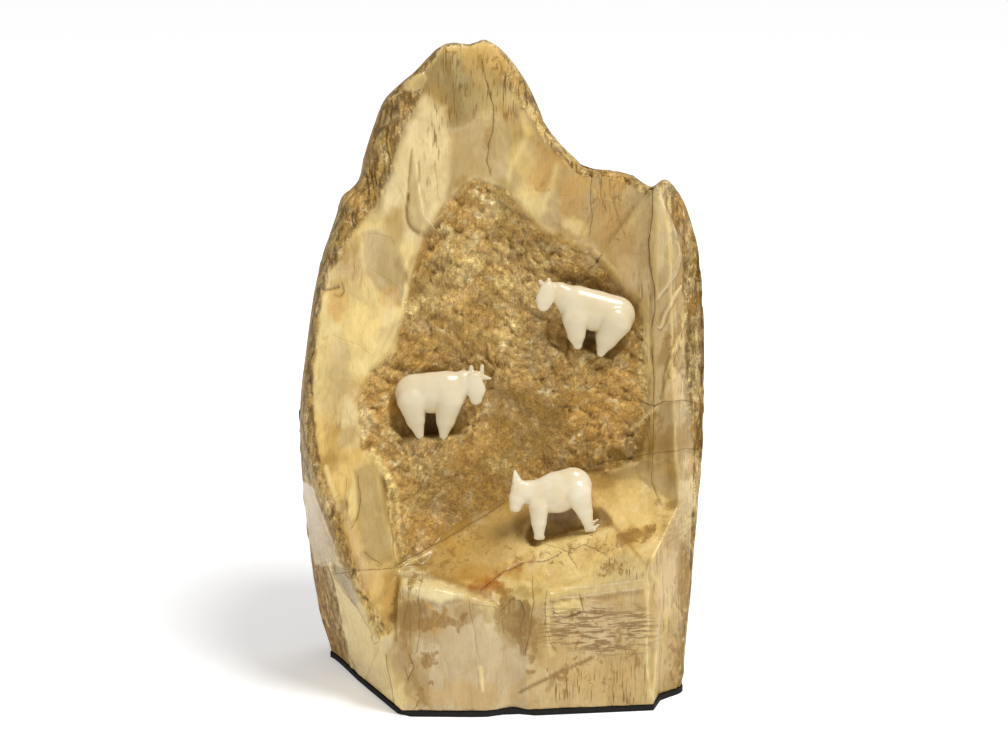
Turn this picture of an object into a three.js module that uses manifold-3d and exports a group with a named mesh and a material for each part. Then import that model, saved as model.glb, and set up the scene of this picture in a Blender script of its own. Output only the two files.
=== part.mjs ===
// A carving in fossil tusk ivory: a broken chunk of tusk stood on its sawn end as a mountain, with
// three small ivory mountain goats in hollows on its face and a thin pad under the whole.
// Millimetres, +Z up, the front faces -Y.

import * as THREE from 'three';
import { mergeVertices } from 'three/addons/utils/BufferGeometryUtils.js';
import Module from 'manifold-3d';

const wasm = await Module();
wasm.setup();

// Where the carving's own origin stands in the finished part, which is centred on its box.
const PLACE_X = 1.07;
const PLACE_Y = -7.06;

// The pad and the gap that keeps two touching pieces apart.
const PAD_THICKNESS = 1.5;
const TOUCH_GAP = 0.3;
const SAWN_END_Z = PAD_THICKNESS + TOUCH_GAP;
const PAD_OVERHANG = 0.35;
const PAD_POINTS = 36;

// The front is laid out square to a line of sight that looks down on it by this angle. A place on
// it is (x, v), with v = y sin + z cos, and the relief is the depth y there.
const LOOK = THREE.MathUtils.degToRad(20);
const LOOK_SIN = Math.sin(LOOK);
const LOOK_COS = Math.cos(LOOK);
const LOOK_TAN = Math.tan(LOOK);

// Outline seen from the front: x, z and the width of the tusk's own skin inside the edge there,
// up the left side, over the peak and the broken right shoulder, and down the right side.
const OUTLINE = [
  [-47.0, -24.0, 9.0],
  [-50.2, 0.0, 9.0],
  [-53.9, 15.5, 9.0],
  [-55.7, 30.7, 9.0],
  [-57.6, 60.0, 8.0],
  [-56.8, 79.5, 5.0],
  [-55.4, 90.3, 4.6],
  [-52.1, 111.3, 4.4],
  [-49.5, 121.7, 6.5],
  [-46.3, 131.8, 9.0],
  [-44.8, 136.3, 9.2],
  [-40.3, 141.2, 9.2],
  [-38.4, 148.3, 8.5],
  [-35.6, 156.7, 7.5],
  [-32.8, 163.2, 6.0],
  [-28.4, 167.8, 5.0],
  [-24.6, 170.9, 3.5],
  [-18.3, 177.3, 2.2],
  [-14.2, 179.2, 2.0],
  [-9.3, 178.7, 1.5],
  [-5.4, 179.8, 1.5],
  [-0.8, 177.3, 1.8],
  [4.6, 170.9, 2.5],
  [8.2, 164.5, 3.0],
  [10.7, 158.1, 3.5],
  [14.2, 152.8, 4.0],
  [19.7, 146.9, 4.0],
  [22.4, 144.4, 4.0],
  [29.0, 143.8, 4.5],
  [34.9, 142.3, 4.5],
  [38.5, 139.8, 3.5],
  [40.2, 138.8, 2.5],
  [42.0, 140.2, 2.0],
  [44.5, 140.7, 2.5],
  [46.1, 140.0, 3.5],
  [49.2, 136.7, 4.5],
  [52.6, 126.9, 5.0],
  [54.6, 110.1, 5.5],
  [55.4, 90.0, 5.0],
  [55.3, 70.7, 3.0],
  [53.7, 45.9, 1.5],
  [52.2, 25.7, 1.5],
  [50.6, 5.6, 1.5],
  [48.0, -24.0, 1.5],
];
const HALF_WIDTH = 57.0;
const UNDER_END_Z = -23.9;
const FINE_STEPS = 600;

// Depth of the side edges, which swing back on the left and forward on the right towards the
// base, and of the edge over the peak.
const EDGE_LEFT_Y = 9.5;
const EDGE_LEFT_SWING = 7.0;
const EDGE_LEFT_POWER = 1.3;
const EDGE_RIGHT_Y = 0.0;
const EDGE_RIGHT_SWING = -11.0;
const EDGE_RIGHT_POWER = 1.2;
const EDGE_SWING_TOP_Z = 95.0;
const EDGE_TOP_Y = 13.0;
const EDGE_TOP_FROM_Z = 118.0;
const EDGE_TOP_TO_Z = 148.0;

// The round back of the tusk.
const BACK_BULGE = 36.0;
const BACK_ROUNDING = 57.0;
const BACK_POWER = 2.2;

// The rough core's border, as (x, v) places on the front, from the apex down the left and back up.
const CORE_BORDER = [
  [-7.9, 135.5],
  [-14.7, 130.3],
  [-20.8, 122.5],
  [-23.1, 115.9],
  [-25.4, 108.0],
  [-27.3, 101.1],
  [-30.1, 90.2],
  [-36.4, 84.7],
  [-40.4, 76.3],
  [-39.1, 65.4],
  [-34.2, 57.2],
  [-32.9, 49.0],
  [-30.3, 38.1],
  [-28.4, 32.0],
  [-17.9, 38.1],
  [0.0, 47.7],
  [24.4, 56.5],
  [37.8, 61.5],
  [39.9, 71.2],
  [39.8, 82.1],
  [37.5, 95.7],
  [34.6, 103.6],
  [29.6, 111.7],
  [23.6, 117.9],
  [15.3, 119.7],
  [8.5, 124.6],
  [4.4, 129.0],
  [-1.1, 133.4],
];
const CORE_STEP = 2.2;
const CORE_LIP = 1.1;

// The wall's sheet stops this far in front of the edge, and the cutter reaches past the outline.
const EDGE_STEP = 0.2;
const PAST_OUTLINE = 1.03;
const CUTTER_FRONT_Y = -60.0;
const CUTTER_SIZE = 240.0;

// Under the peak the wall gives way to the peak's own cuts, no deeper than this behind it.
const PEAK_FROM_V = 118.0;
const PEAK_TO_V = 132.0;
const PEAK_DEEPER = 3.0;

// How far the meeting of two cuts is rounded.
const ROUND = { sharp: 0.8, soft: 2.0, softer: 4.0 };

// Flat cuts: a point on the cut, its turn towards +X and its tilt upwards in degrees.
const FACE = {
  frontLeft: { at: [-12, -28.3, 10], turn: -1, lift: 1.5 },
  frontRight: { at: [12, -26.9, 10], turn: 6, lift: 1.5 },
  cornerRight: { at: [41, -24, 25], turn: 54, lift: 4 },
  cornerFoot: { at: [41.3, -24, 3], turn: 74, lift: -2 },
  cornerFootBack: { at: [43.5, -17, 3], turn: 38, lift: -6 },
  cornerLeft: { at: [-37, -13, 5], turn: -62, lift: -14 },
  ledgeRight: { at: [11, -27.5, 34.5], turn: -27, lift: 50 },
  ledgeLeft: { at: [-4.6, -27, 32.8], turn: -27.8, lift: 55.2 },
  ledgeEnd: { at: [41, -1.5, 61.5], turn: -12, lift: 48 },
  ledgeLow: { at: [-30, -22, 36.4], turn: 0, lift: 84 },
  ledgeFoot: { at: [-28.2, -28.3, 33], turn: -40, lift: 8 },
  backWall: { at: [0, 0, 60], turn: 0, lift: 3 },
  leftFlank: { at: [-29, -3, 100], turn: 24, lift: 1 },
  leftSlab: { at: [-36, -14.5, 50], turn: 33, lift: 16 },
  rightFlank: { at: [41, -3.5, 95], turn: -38, lift: 1 },
  upperRight: { at: [30, -1, 125], turn: -8, lift: 3 },
  peakLeft: { at: [-24, -3, 150], turn: 32, lift: 9 },
  peakMiddle: { at: [-5, 1.5, 150], turn: 3, lift: 9 },
  peakTop: { at: [-5, 4, 165], turn: -3, lift: 16 },
  peakRight: { at: [6, 2.5, 150], turn: -14, lift: 6 },
};

// The back wall is dished about this x, and falls away by this much at its half width.
const DISH_X = 10.0;
const DISH_HALF_WIDTH = 45.0;
const DISH_DEPTH = 6.5;

// An upright flute in the front face, left of the corner between its two halves.
const FLUTE = { x: 2.5, width: 4.5, depth: 2.6 };

// The thin lip that stands along the ledge's left front edge.
const LIP = { topZ: 37.4, leftX: -28, rightX: 2, fall: 0.008, backY: -20, steps: 8 };

// The tall splinter on the right, proud of the wall beside it.
const SPLINTER = { leftX: 40.7, bottomV: 58, proud: 1.6, blend: 2 };

// The three hollows: the line where the near feet stand, with the floor's slope along x, then the
// ellipse of the hollow at (x, v) with its half sizes, its mouth's depth and how deep it goes.
const HOLLOWS = {
  goat_middle: { foot: [-20, -6.5, 72.5], slope: 0, at: [-18.5, 76], half: [14, 13], mouthY: -5, deep: 9 },
  goat_upper: { foot: [23.7, -5, 96.2], slope: -0.38, at: [24.5, 99.5], half: [14.5, 13], mouthY: -4, deep: 10 },
  goat_lower: { foot: [17, -13.6, 46.1], slope: 0.26, at: [16.5, 46], half: [14.5, 11.5], mouthY: -14, deep: 9.5 },
};

// Below a hollow the wall swells into a small step, and above it the wall draws back.
const STEP_UNDER_HOLLOW = { below: 4, half: [13, 9] };
const STEP_PROUD = { goat_middle: 4.0, goat_upper: 4.5, goat_lower: 0 };
const DRAW_BACK = { above: 15, half: [14, 9], depth: 1.8 };

// A goat is chains of round joints: across, up and radius, from its own foot point. It is thinner
// than it is tall by FLATNESS, and its legs stand SIDE_STEP off its middle plane.
const FLATNESS = 0.7;
const SIDE_STEP = 2.2;
const FOOT_RADIUS = 1.2;
const GOATS = {
  goat_middle: {
    at: [-19.9, 72.9],
    trunk: [
      [-4.6, 12.6, 5.4],
      [3.6, 13.2, 5.7],
      [9.0, 15.6, 3.6],
      [12.3, 15.9, 2.9],
      [12.4, 12.0, 2.2],
    ],
    hindLeg: [
      [-4.9, 10.3, 4.4],
      [-4.2, 5.0, 2.1],
      [-3.5, 1.1, 1.15],
    ],
    foreLeg: [
      [4.4, 10.3, 4.3],
      [3.8, 5.0, 2.2],
      [3.4, 1.1, 1.1],
    ],
    horns: [
      [[11.3, 18.2, 0.75], [11.3, 19.9, 0.6]],
      [[13.7, 18.0, 0.8], [13.7, 20.1, 0.65]],
    ],
    ears: [[[14.2, 16.6, 1.3], [16.0, 16.6, 0.4]]],
  },
  goat_upper: {
    at: [23.7, 96.9],
    trunk: [
      [6.9, 10.2, 5.4],
      [1.5, 11.8, 5.2],
      [-3.6, 13.4, 5.0],
      [-8.6, 16.6, 3.2],
      [-12.4, 17.2, 2.4],
      [-13.2, 13.5, 1.8],
    ],
    hindLeg: [
      [6.4, 8.4, 5.0],
      [4.2, 3.4, 2.8],
      [2.9, 0.0, 1.3],
    ],
    foreLeg: [
      [-4.4, 9.5, 3.6],
      [-3.9, 4.8, 2.0],
      [-3.5, 2.3, 1.2],
    ],
    horns: [[[-12.9, 19.4, 0.7], [-13.0, 20.9, 0.45]]],
    ears: [[[-14.0, 19.0, 0.8], [-14.7, 19.9, 0.5]]],
  },
  goat_lower: {
    at: [17.0, 46.6],
    trunk: [
      [1.9, 14.3, 5.2],
      [-2.4, 12.8, 5.6],
      [-6.2, 11.6, 4.6],
      [-9.8, 12.4, 3.2],
      [-13.1, 13.4, 2.8],
      [-14.5, 9.3, 1.9],
    ],
    hindLeg: [
      [3.0, 12.2, 4.2],
      [5.5, 6.5, 1.9],
      [6.6, 3.6, 1.4],
    ],
    foreLeg: [
      [-7.6, 9.2, 2.9],
      [-7.5, 4.4, 2.0],
      [-7.2, 0.2, 1.6],
    ],
    horns: [[[-13.6, 15.6, 1.5], [-14.1, 18.7, 0.35]]],
    ears: [],
  },
};

// Mesh fineness. Rings lie closer together towards the edge by RING_CROWDING.
const RING_CROWDING = 0.25;
const RINGS_WALL = 24;
const RINGS_BLOCK = 16;
const RINGS_BACK = 8;
const RING_POINTS = 8;
const OUTLINE_STEPS = RING_POINTS * RINGS_WALL;
const LIMB_SIDES = 8;
const LEG_SIDES = 6;
const HORN_SIDES = 5;
const HOLLOW_SIDES = 20;

const CENTRE = { x: 0, z: 88 };

function smoothStep(from, to, value) {
  const t = THREE.MathUtils.clamp((value - from) / (to - from), 0, 1);
  return t * t * (3 - 2 * t);
}

function softMax(a, b, blend) {
  const h = THREE.MathUtils.clamp(0.5 + (0.5 * (a - b)) / blend, 0, 1);
  return b + (a - b) * h + blend * h * (1 - h);
}

function softMin(a, b, blend) {
  return -softMax(-a, -b, blend);
}

function bump(x, v, centreX, centreV, halfX, halfV) {
  return Math.exp(-(((x - centreX) / halfX) ** 2) - ((v - centreV) / halfV) ** 2);
}

function laidOut(y, z) {
  return y * LOOK_SIN + z * LOOK_COS;
}

function heightAt(y, v) {
  return (v - y * LOOK_SIN) / LOOK_COS;
}

// Depth where the line of sight at (x, v) meets a plane with this point and normal.
function planeDepth(x, v, point, normal) {
  const reach = normal.x * point[0] + normal.y * point[1] + normal.z * point[2];
  return (reach - normal.x * x - (normal.z * v) / LOOK_COS) / (normal.y - normal.z * LOOK_TAN);
}

function normalOf(face) {
  const turn = THREE.MathUtils.degToRad(face.turn);
  const lift = THREE.MathUtils.degToRad(face.lift);
  return new THREE.Vector3(Math.sin(turn) * Math.cos(lift), -Math.cos(turn) * Math.cos(lift), Math.sin(lift));
}

function cut(x, v, face) {
  return planeDepth(x, v, face.at, normalOf(face));
}

function edgeDepth(x, z) {
  const fall = Math.max(1 - z / EDGE_SWING_TOP_Z, 0);
  const left = EDGE_LEFT_Y + EDGE_LEFT_SWING * fall ** EDGE_LEFT_POWER;
  const right = EDGE_RIGHT_Y + EDGE_RIGHT_SWING * fall ** EDGE_RIGHT_POWER;
  const across = THREE.MathUtils.clamp((x + HALF_WIDTH) / (2 * HALF_WIDTH), 0, 1);
  const side = THREE.MathUtils.lerp(left, right, across);
  return THREE.MathUtils.lerp(side, EDGE_TOP_Y, smoothStep(EDGE_TOP_FROM_Z, EDGE_TOP_TO_Z, z));
}

// The outline as points evenly spaced along it, closed by the straight line under it.
function outlinePoints() {
  const curve = new THREE.CatmullRomCurve3(OUTLINE.map((p) => new THREE.Vector3(...p)), false, 'centripetal');
  const fine = curve.getSpacedPoints(FINE_STEPS);
  const corners = [...fine, fine[0]];
  const reach = [0];
  for (let i = 1; i < corners.length; i++) {
    reach.push(reach[i - 1] + Math.hypot(corners[i].x - corners[i - 1].x, corners[i].y - corners[i - 1].y));
  }
  const points = [];
  let i = 1;
  for (let k = 0; k < OUTLINE_STEPS; k++) {
    const target = (reach[reach.length - 1] * k) / OUTLINE_STEPS;
    while (reach[i] < target) {
      i++;
    }
    const t = (target - reach[i - 1]) / (reach[i] - reach[i - 1]);
    const place = new THREE.Vector3().lerpVectors(corners[i - 1], corners[i], t);
    const y = edgeDepth(place.x, place.y);
    points.push({ x: place.x, y, z: place.y, v: laidOut(y, place.y), band: place.z });
  }
  return points;
}

const edge = outlinePoints();
const openEdge = edge.filter((p) => p.z > UNDER_END_Z);

// Distance from (x, h) to a chain of corners, with the skin band's width at the nearest place.
function nearest(x, h, chain, up) {
  let best = Infinity;
  let band = 0;
  for (let i = 1; i < chain.length; i++) {
    const a = chain[i - 1];
    const b = chain[i];
    const ex = b.x - a.x;
    const eh = b[up] - a[up];
    const t = THREE.MathUtils.clamp(((x - a.x) * ex + (h - a[up]) * eh) / (ex * ex + eh * eh), 0, 1);
    const distance = Math.hypot(x - a.x - t * ex, h - a[up] - t * eh);
    if (distance < best) {
      best = distance;
      band = THREE.MathUtils.lerp(a.band, b.band, t);
    }
  }
  return { distance: best, band };
}

const coreChain = [...CORE_BORDER, CORE_BORDER[0]].map(([x, v]) => ({ x, v, band: 0 }));

function insideCore(x, v) {
  let inside = false;
  for (let i = 1; i < coreChain.length; i++) {
    const a = coreChain[i - 1];
    const b = coreChain[i];
    const crosses = a.v > v !== b.v > v;
    if (crosses && x < ((b.x - a.x) * (v - a.v)) / (b.v - a.v) + a.x) {
      inside = !inside;
    }
  }
  const distance = nearest(x, v, coreChain, 'v').distance;
  return smoothStep(-CORE_LIP, CORE_LIP, inside ? distance : -distance);
}

function blockDepth(x, v) {
  const flute = FLUTE.depth * Math.exp(-(((x - FLUTE.x) / FLUTE.width) ** 2));
  const front = softMax(cut(x, v, FACE.frontLeft) + flute, cut(x, v, FACE.frontRight), ROUND.sharp);
  const foot = softMin(cut(x, v, FACE.cornerFoot), cut(x, v, FACE.cornerFootBack), ROUND.soft);
  const corner = softMax(cut(x, v, FACE.cornerRight), foot, ROUND.sharp);
  const cornered = softMax(front, corner, ROUND.sharp);
  return softMax(cornered, cut(x, v, FACE.cornerLeft), ROUND.sharp);
}

function peakDepth(x, v) {
  const hollow = softMin(cut(x, v, FACE.peakLeft), cut(x, v, FACE.peakMiddle), ROUND.soft);
  const topped = softMax(hollow, cut(x, v, FACE.peakTop), ROUND.sharp);
  return softMin(topped, cut(x, v, FACE.peakRight), ROUND.sharp);
}

function wallDepth(x, v) {
  const dished = cut(x, v, FACE.backWall) - DISH_DEPTH * ((x - DISH_X) / DISH_HALF_WIDTH) ** 2;
  const left = softMin(cut(x, v, FACE.leftFlank), cut(x, v, FACE.leftSlab), ROUND.soft);
  const low = softMin(softMin(dished, left, ROUND.softer), cut(x, v, FACE.rightFlank), ROUND.softer);
  const top = softMin(peakDepth(x, v), cut(x, v, FACE.upperRight), ROUND.soft);
  const high = softMin(top, low + PEAK_DEEPER, ROUND.soft);
  const wall = THREE.MathUtils.lerp(low, high, smoothStep(PEAK_FROM_V, PEAK_TO_V, v));
  const onSplinter = smoothStep(SPLINTER.leftX - SPLINTER.blend, SPLINTER.leftX + SPLINTER.blend, x)
    * smoothStep(SPLINTER.bottomV - SPLINTER.blend, SPLINTER.bottomV + SPLINTER.blend, v);
  return wall - SPLINTER.proud * onSplinter;
}

function swellings(x, v) {
  let depth = 0;
  for (const [name, hollow] of Object.entries(HOLLOWS)) {
    const footV = laidOut(hollow.foot[1], hollow.foot[2]);
    const step = STEP_UNDER_HOLLOW;
    depth -= STEP_PROUD[name] * bump(x, v, hollow.at[0], footV - step.below, ...step.half);
    depth += DRAW_BACK.depth * bump(x, v, hollow.at[0], footV + DRAW_BACK.above, ...DRAW_BACK.half);
  }
  return depth;
}

// Depth of the edge at the place that is seen at (x, v).
function rimDepth(x, v) {
  let rim = edgeDepth(x, v);
  for (let i = 0; i < 4; i++) {
    rim = edgeDepth(x, heightAt(rim, v));
  }
  return rim;
}

// The tusk's skin rounds over from the edge to the carved depth across its band.
function behindSkin(x, v, rim, carved) {
  const { distance, band } = nearest(x, v, openEdge, 'v');
  const u = Math.min(distance / band, 1);
  return THREE.MathUtils.lerp(rim, carved, Math.sqrt(1 - (1 - u) ** 2));
}

function blockSheet(x, v) {
  return behindSkin(x, v, rimDepth(x, v), blockDepth(x, v));
}

function wallSheet(x, v) {
  const wall = wallDepth(x, v) + swellings(x, v) + CORE_STEP * insideCore(x, v);
  return behindSkin(x, v, rimDepth(x, v) - EDGE_STEP, wall);
}

function backDepth(x, z) {
  const { distance } = nearest(x, z, openEdge, 'z');
  const u = Math.min(distance / BACK_ROUNDING, 1);
  return edgeDepth(x, z) + BACK_BULGE * Math.sqrt(1 - (1 - u) ** BACK_POWER);
}

// A ring of points like the edge but scaled about the middle, evenly spaced.
function addRing(positions, count, scale, up, depthAt) {
  const middle = up === 'v' ? laidOut(0, CENTRE.z) : CENTRE.z;
  const ring = [];
  for (let j = 0; j < count; j++) {
    const along = (j / count) * edge.length;
    const from = edge[Math.floor(along)];
    const next = edge[(Math.floor(along) + 1) % edge.length];
    const part = along - Math.floor(along);
    const x = CENTRE.x + (THREE.MathUtils.lerp(from.x, next.x, part) - CENTRE.x) * scale;
    const h = middle + (THREE.MathUtils.lerp(from[up], next[up], part) - middle) * scale;
    const y = depthAt(x, h);
    positions.push(x, y, up === 'v' ? heightAt(y, h) : h);
    ring.push(positions.length / 3 - 1);
  }
  return ring;
}

// Rows of triangles between two rings of vertex numbers, each evenly spaced round its own length.
function bridge(outer, inner, triangles) {
  let i = 0;
  let j = 0;
  while (i < outer.length || j < inner.length) {
    const a = outer[i % outer.length];
    const b = inner[j % inner.length];
    const stepOuter = (i + 1) / outer.length <= (j + 1) / inner.length;
    if (stepOuter && i < outer.length) {
      triangles.push([a, b, outer[(i + 1) % outer.length]]);
      i++;
    } else {
      triangles.push([a, b, inner[(j + 1) % inner.length]]);
      j++;
    }
  }
}

// One sheet from the edge to its middle: ring k has 8 k points, each on the way from the centre
// to the edge.
function sheet(positions, edgeRing, rings, up, depthAt, flip) {
  const triangles = [];
  let outer = edgeRing;
  for (let k = rings - 1; k >= 0; k--) {
    const u = k / rings;
    const scale = THREE.MathUtils.lerp(u, Math.sin((u * Math.PI) / 2), RING_CROWDING);
    const ring = addRing(positions, Math.max(1, RING_POINTS * k), scale, up, depthAt);
    bridge(outer, ring, triangles);
    outer = ring;
  }
  return triangles.filter((t) => new Set(t).size === 3).map(([a, b, c]) => (flip ? [a, c, b] : [a, b, c]));
}

function closedGeometry(positions, triangles) {
  const geometry = new THREE.BufferGeometry();
  geometry.setAttribute('position', new THREE.Float32BufferAttribute(positions, 3));
  geometry.setIndex(triangles.flat());
  return geometry;
}

function toSolid(geometry) {
  const bare = geometry.clone();
  bare.deleteAttribute('normal');
  bare.deleteAttribute('uv');
  const merged = mergeVertices(bare, 1e-4);
  const mesh = new wasm.Mesh({
    numProp: 3,
    vertProperties: new Float32Array(merged.attributes.position.array),
    triVerts: new Uint32Array(merged.index.array),
  });
  return new wasm.Manifold(mesh);
}

function toGeometry(solid) {
  const mesh = solid.getMesh();
  const geometry = new THREE.BufferGeometry();
  geometry.setAttribute('position', new THREE.BufferAttribute(new Float32Array(mesh.vertProperties), 3));
  geometry.setIndex(new THREE.BufferAttribute(new Uint32Array(mesh.triVerts), 1));
  geometry.computeVertexNormals();
  return geometry;
}

// Everything on the side of a plane that its normal points to, as a large box.
function halfSpace(at, normal) {
  const box = new THREE.BoxGeometry(CUTTER_SIZE, CUTTER_SIZE, CUTTER_SIZE);
  box.translate(0, 0, CUTTER_SIZE / 2);
  box.applyQuaternion(new THREE.Quaternion().setFromUnitVectors(new THREE.Vector3(0, 0, 1), normal));
  box.translate(...at);
  return toSolid(box);
}

function inFrontOf(face) {
  return halfSpace(face.at, normalOf(face));
}

// All that lies in front of the ledge, less the thin lip along its left front edge.
function aboveLedge() {
  const main = inFrontOf(FACE.ledgeRight).intersect(inFrontOf(FACE.ledgeLeft));
  const top = [];
  for (let i = 0; i <= LIP.steps; i++) {
    const x = THREE.MathUtils.lerp(LIP.rightX, LIP.leftX, i / LIP.steps);
    top.push(new THREE.Vector2(x, LIP.topZ - LIP.fall * (x - LIP.leftX) ** 2));
  }
  const outline = new THREE.Shape([new THREE.Vector2(LIP.leftX, 0), new THREE.Vector2(LIP.rightX, 0), ...top]);
  const lip = new THREE.ExtrudeGeometry(outline, { depth: LIP.backY - CUTTER_FRONT_Y, bevelEnabled: false });
  lip.rotateX(Math.PI / 2);
  lip.translate(0, LIP.backY, 0);
  const lowEnd = inFrontOf(FACE.ledgeLow).add(inFrontOf(FACE.ledgeFoot));
  return main.intersect(lowEnd).add(inFrontOf(FACE.ledgeEnd)).subtract(toSolid(lip));
}

// All that lies in front of the wall, out to past the outline.
function beforeWall() {
  const positions = [];
  const front = addRing(positions, OUTLINE_STEPS, PAST_OUTLINE, 'v', () => CUTTER_FRONT_Y);
  const outside = addRing(positions, OUTLINE_STEPS, PAST_OUTLINE, 'v', (x, v) => rimDepth(x, v) - EDGE_STEP);
  const rim = addRing(positions, OUTLINE_STEPS, 1, 'v', (x, v) => rimDepth(x, v) - EDGE_STEP);
  const middle = addRing(positions, 1, 0, 'v', () => CUTTER_FRONT_Y);
  const triangles = [];
  bridge(middle, front, triangles);
  bridge(front, outside, triangles);
  bridge(outside, rim, triangles);
  const whole = triangles.filter((t) => new Set(t).size === 3).map(([a, b, c]) => [a, c, b]);
  whole.push(...sheet(positions, rim, RINGS_WALL, 'v', wallSheet, true));
  return toSolid(closedGeometry(positions, whole));
}

// A hollow: an ellipsoid in the laid-out frame, cut off level with the floor where the feet stand.
function hollowCutter(hollow) {
  const ball = new THREE.SphereGeometry(1, HOLLOW_SIDES, HOLLOW_SIDES / 2);
  const places = ball.attributes.position;
  for (let i = 0; i < places.count; i++) {
    const x = hollow.at[0] + hollow.half[0] * places.getX(i);
    const y = hollow.mouthY + hollow.deep * places.getZ(i);
    const v = hollow.at[1] + hollow.half[1] * places.getY(i);
    places.setXYZ(i, x, y, heightAt(y, v));
  }
  const flipped = ball.index.array;
  for (let i = 0; i < flipped.length; i += 3) {
    [flipped[i], flipped[i + 1]] = [flipped[i + 1], flipped[i]];
  }
  const floorTurn = Math.atan(hollow.slope);
  const above = halfSpace(hollow.foot, new THREE.Vector3(-Math.sin(floorTurn), 0, Math.cos(floorTurn)));
  return toSolid(ball).intersect(above);
}

function buildMountain() {
  const positions = [];
  const edgeRing = edge.map((p) => {
    positions.push(p.x, p.y, p.z);
    return positions.length / 3 - 1;
  });
  const front = sheet(positions, edgeRing, RINGS_BLOCK, 'v', blockSheet, false);
  const back = sheet(positions, edgeRing, RINGS_BACK, 'z', backDepth, true);
  const tusk = toSolid(closedGeometry(positions, [...front, ...back]));
  const sawn = tusk.intersect(halfSpace([0, 0, SAWN_END_Z], new THREE.Vector3(0, 0, 1)));
  let solid = sawn.subtract(beforeWall().intersect(aboveLedge()));
  for (const hollow of Object.values(HOLLOWS)) {
    solid = solid.subtract(hollowCutter(hollow));
  }
  return solid;
}

// A limb between two round joints, as a turned shape flattened in depth.
function limb(from, to, sides, aside) {
  const length = Math.hypot(to[0] - from[0], to[1] - from[1]);
  const profile = [];
  const caps = 2;
  for (let i = 0; i <= caps; i++) {
    const a = ((i / caps - 1) * Math.PI) / 2;
    profile.push(new THREE.Vector2(from[2] * Math.cos(a), from[2] * Math.sin(a)));
  }
  for (let i = 0; i <= caps; i++) {
    const a = ((i / caps) * Math.PI) / 2;
    profile.push(new THREE.Vector2(to[2] * Math.cos(a), length + to[2] * Math.sin(a)));
  }
  profile[0].x = 0;
  profile[profile.length - 1].x = 0;
  const geometry = new THREE.LatheGeometry(profile, sides);
  geometry.rotateX(Math.PI / 2);
  geometry.rotateY(Math.atan2(to[0] - from[0], to[1] - from[1]));
  geometry.scale(1, FLATNESS, 1);
  geometry.translate(from[0], aside, from[1]);
  return toSolid(geometry);
}

function chain(joints, sides, aside) {
  return joints.slice(1).map((joint, i) => limb(joints[i], joint, sides, aside));
}

function buildGoat(name) {
  const goat = GOATS[name];
  const middleY = HOLLOWS[name].foot[1] + FOOT_RADIUS * FLATNESS + SIDE_STEP;
  const pieces = [
    ...chain(goat.trunk, LIMB_SIDES, 0),
    ...goat.horns.flatMap((horn) => chain(horn, HORN_SIDES, 0)),
    ...goat.ears.flatMap((ear) => chain(ear, HORN_SIDES, 0)),
  ];
  for (const aside of [-SIDE_STEP, SIDE_STEP]) {
    pieces.push(...chain(goat.hindLeg, LEG_SIDES, aside));
    pieces.push(...chain(goat.foreLeg, LEG_SIDES, aside));
  }
  const whole = pieces.reduce((sum, piece) => sum.add(piece));
  return whole.translate([goat.at[0], middleY, goat.at[1]]);
}

// The pad follows the sawn end, a little proud of it.
function buildPad() {
  const left = [];
  const right = [];
  const z = SAWN_END_Z;
  const ends = openEdge.filter((p, i) => i > 0 && (p.z - z) * (openEdge[i - 1].z - z) <= 0);
  const fromX = ends[0].x;
  const toX = ends[ends.length - 1].x;
  for (let k = 0; k <= PAD_POINTS; k++) {
    const x = THREE.MathUtils.lerp(fromX, toX, (1 - Math.cos((k / PAD_POINTS) * Math.PI)) / 2);
    let front = edgeDepth(x, z);
    for (let i = 0; i < 12; i++) {
      front = THREE.MathUtils.lerp(front, blockSheet(x, laidOut(front, z)), 0.8);
    }
    left.push(new THREE.Vector2(x, front));
    right.push(new THREE.Vector2(x, backDepth(x, z)));
  }
  const ring = [...left, ...right.reverse().slice(1, -1)];
  const middle = ring.reduce((sum, p) => sum.add(p), new THREE.Vector2()).divideScalar(ring.length);
  const proud = ring.map((p) => p.clone().add(p.clone().sub(middle).normalize().multiplyScalar(PAD_OVERHANG)));
  const geometry = new THREE.ExtrudeGeometry(new THREE.Shape(proud), { depth: PAD_THICKNESS, bevelEnabled: false });
  return toSolid(geometry);
}

const MATERIALS = {
  mountain: new THREE.MeshStandardMaterial({ color: '#c9b07f', roughness: 0.45, metalness: 0 }),
  goat_upper: new THREE.MeshStandardMaterial({ color: '#e9dfc8', roughness: 0.3, metalness: 0 }),
  goat_middle: new THREE.MeshStandardMaterial({ color: '#ebe2cd', roughness: 0.3, metalness: 0 }),
  goat_lower: new THREE.MeshStandardMaterial({ color: '#ece1c6', roughness: 0.3, metalness: 0 }),
  base_pad: new THREE.MeshStandardMaterial({ color: '#15130f', roughness: 0.95, metalness: 0 }),
};

function named(name, solid) {
  const mesh = new THREE.Mesh(toGeometry(solid), MATERIALS[name]);
  mesh.name = name;
  return mesh;
}

const carving = new THREE.Group();
carving.position.set(PLACE_X, PLACE_Y, 0);
carving.add(named('mountain', buildMountain()));
for (const name of Object.keys(GOATS)) {
  carving.add(named(name, buildGoat(name)));
}
carving.add(named('base_pad', buildPad()));

const part = new THREE.Group();
part.add(carving);

export default part;
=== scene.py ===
"""A carving in fossil tusk ivory: a tusk chunk as a mountain, with three ivory mountain goats on it.

Sizes are in millimetres in the carving's own frame, and turned to metres where meshes are made.
"""

import logging
import math
from collections.abc import Sequence
from dataclasses import dataclass, field, fields
from enum import Enum
from itertools import product

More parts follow.
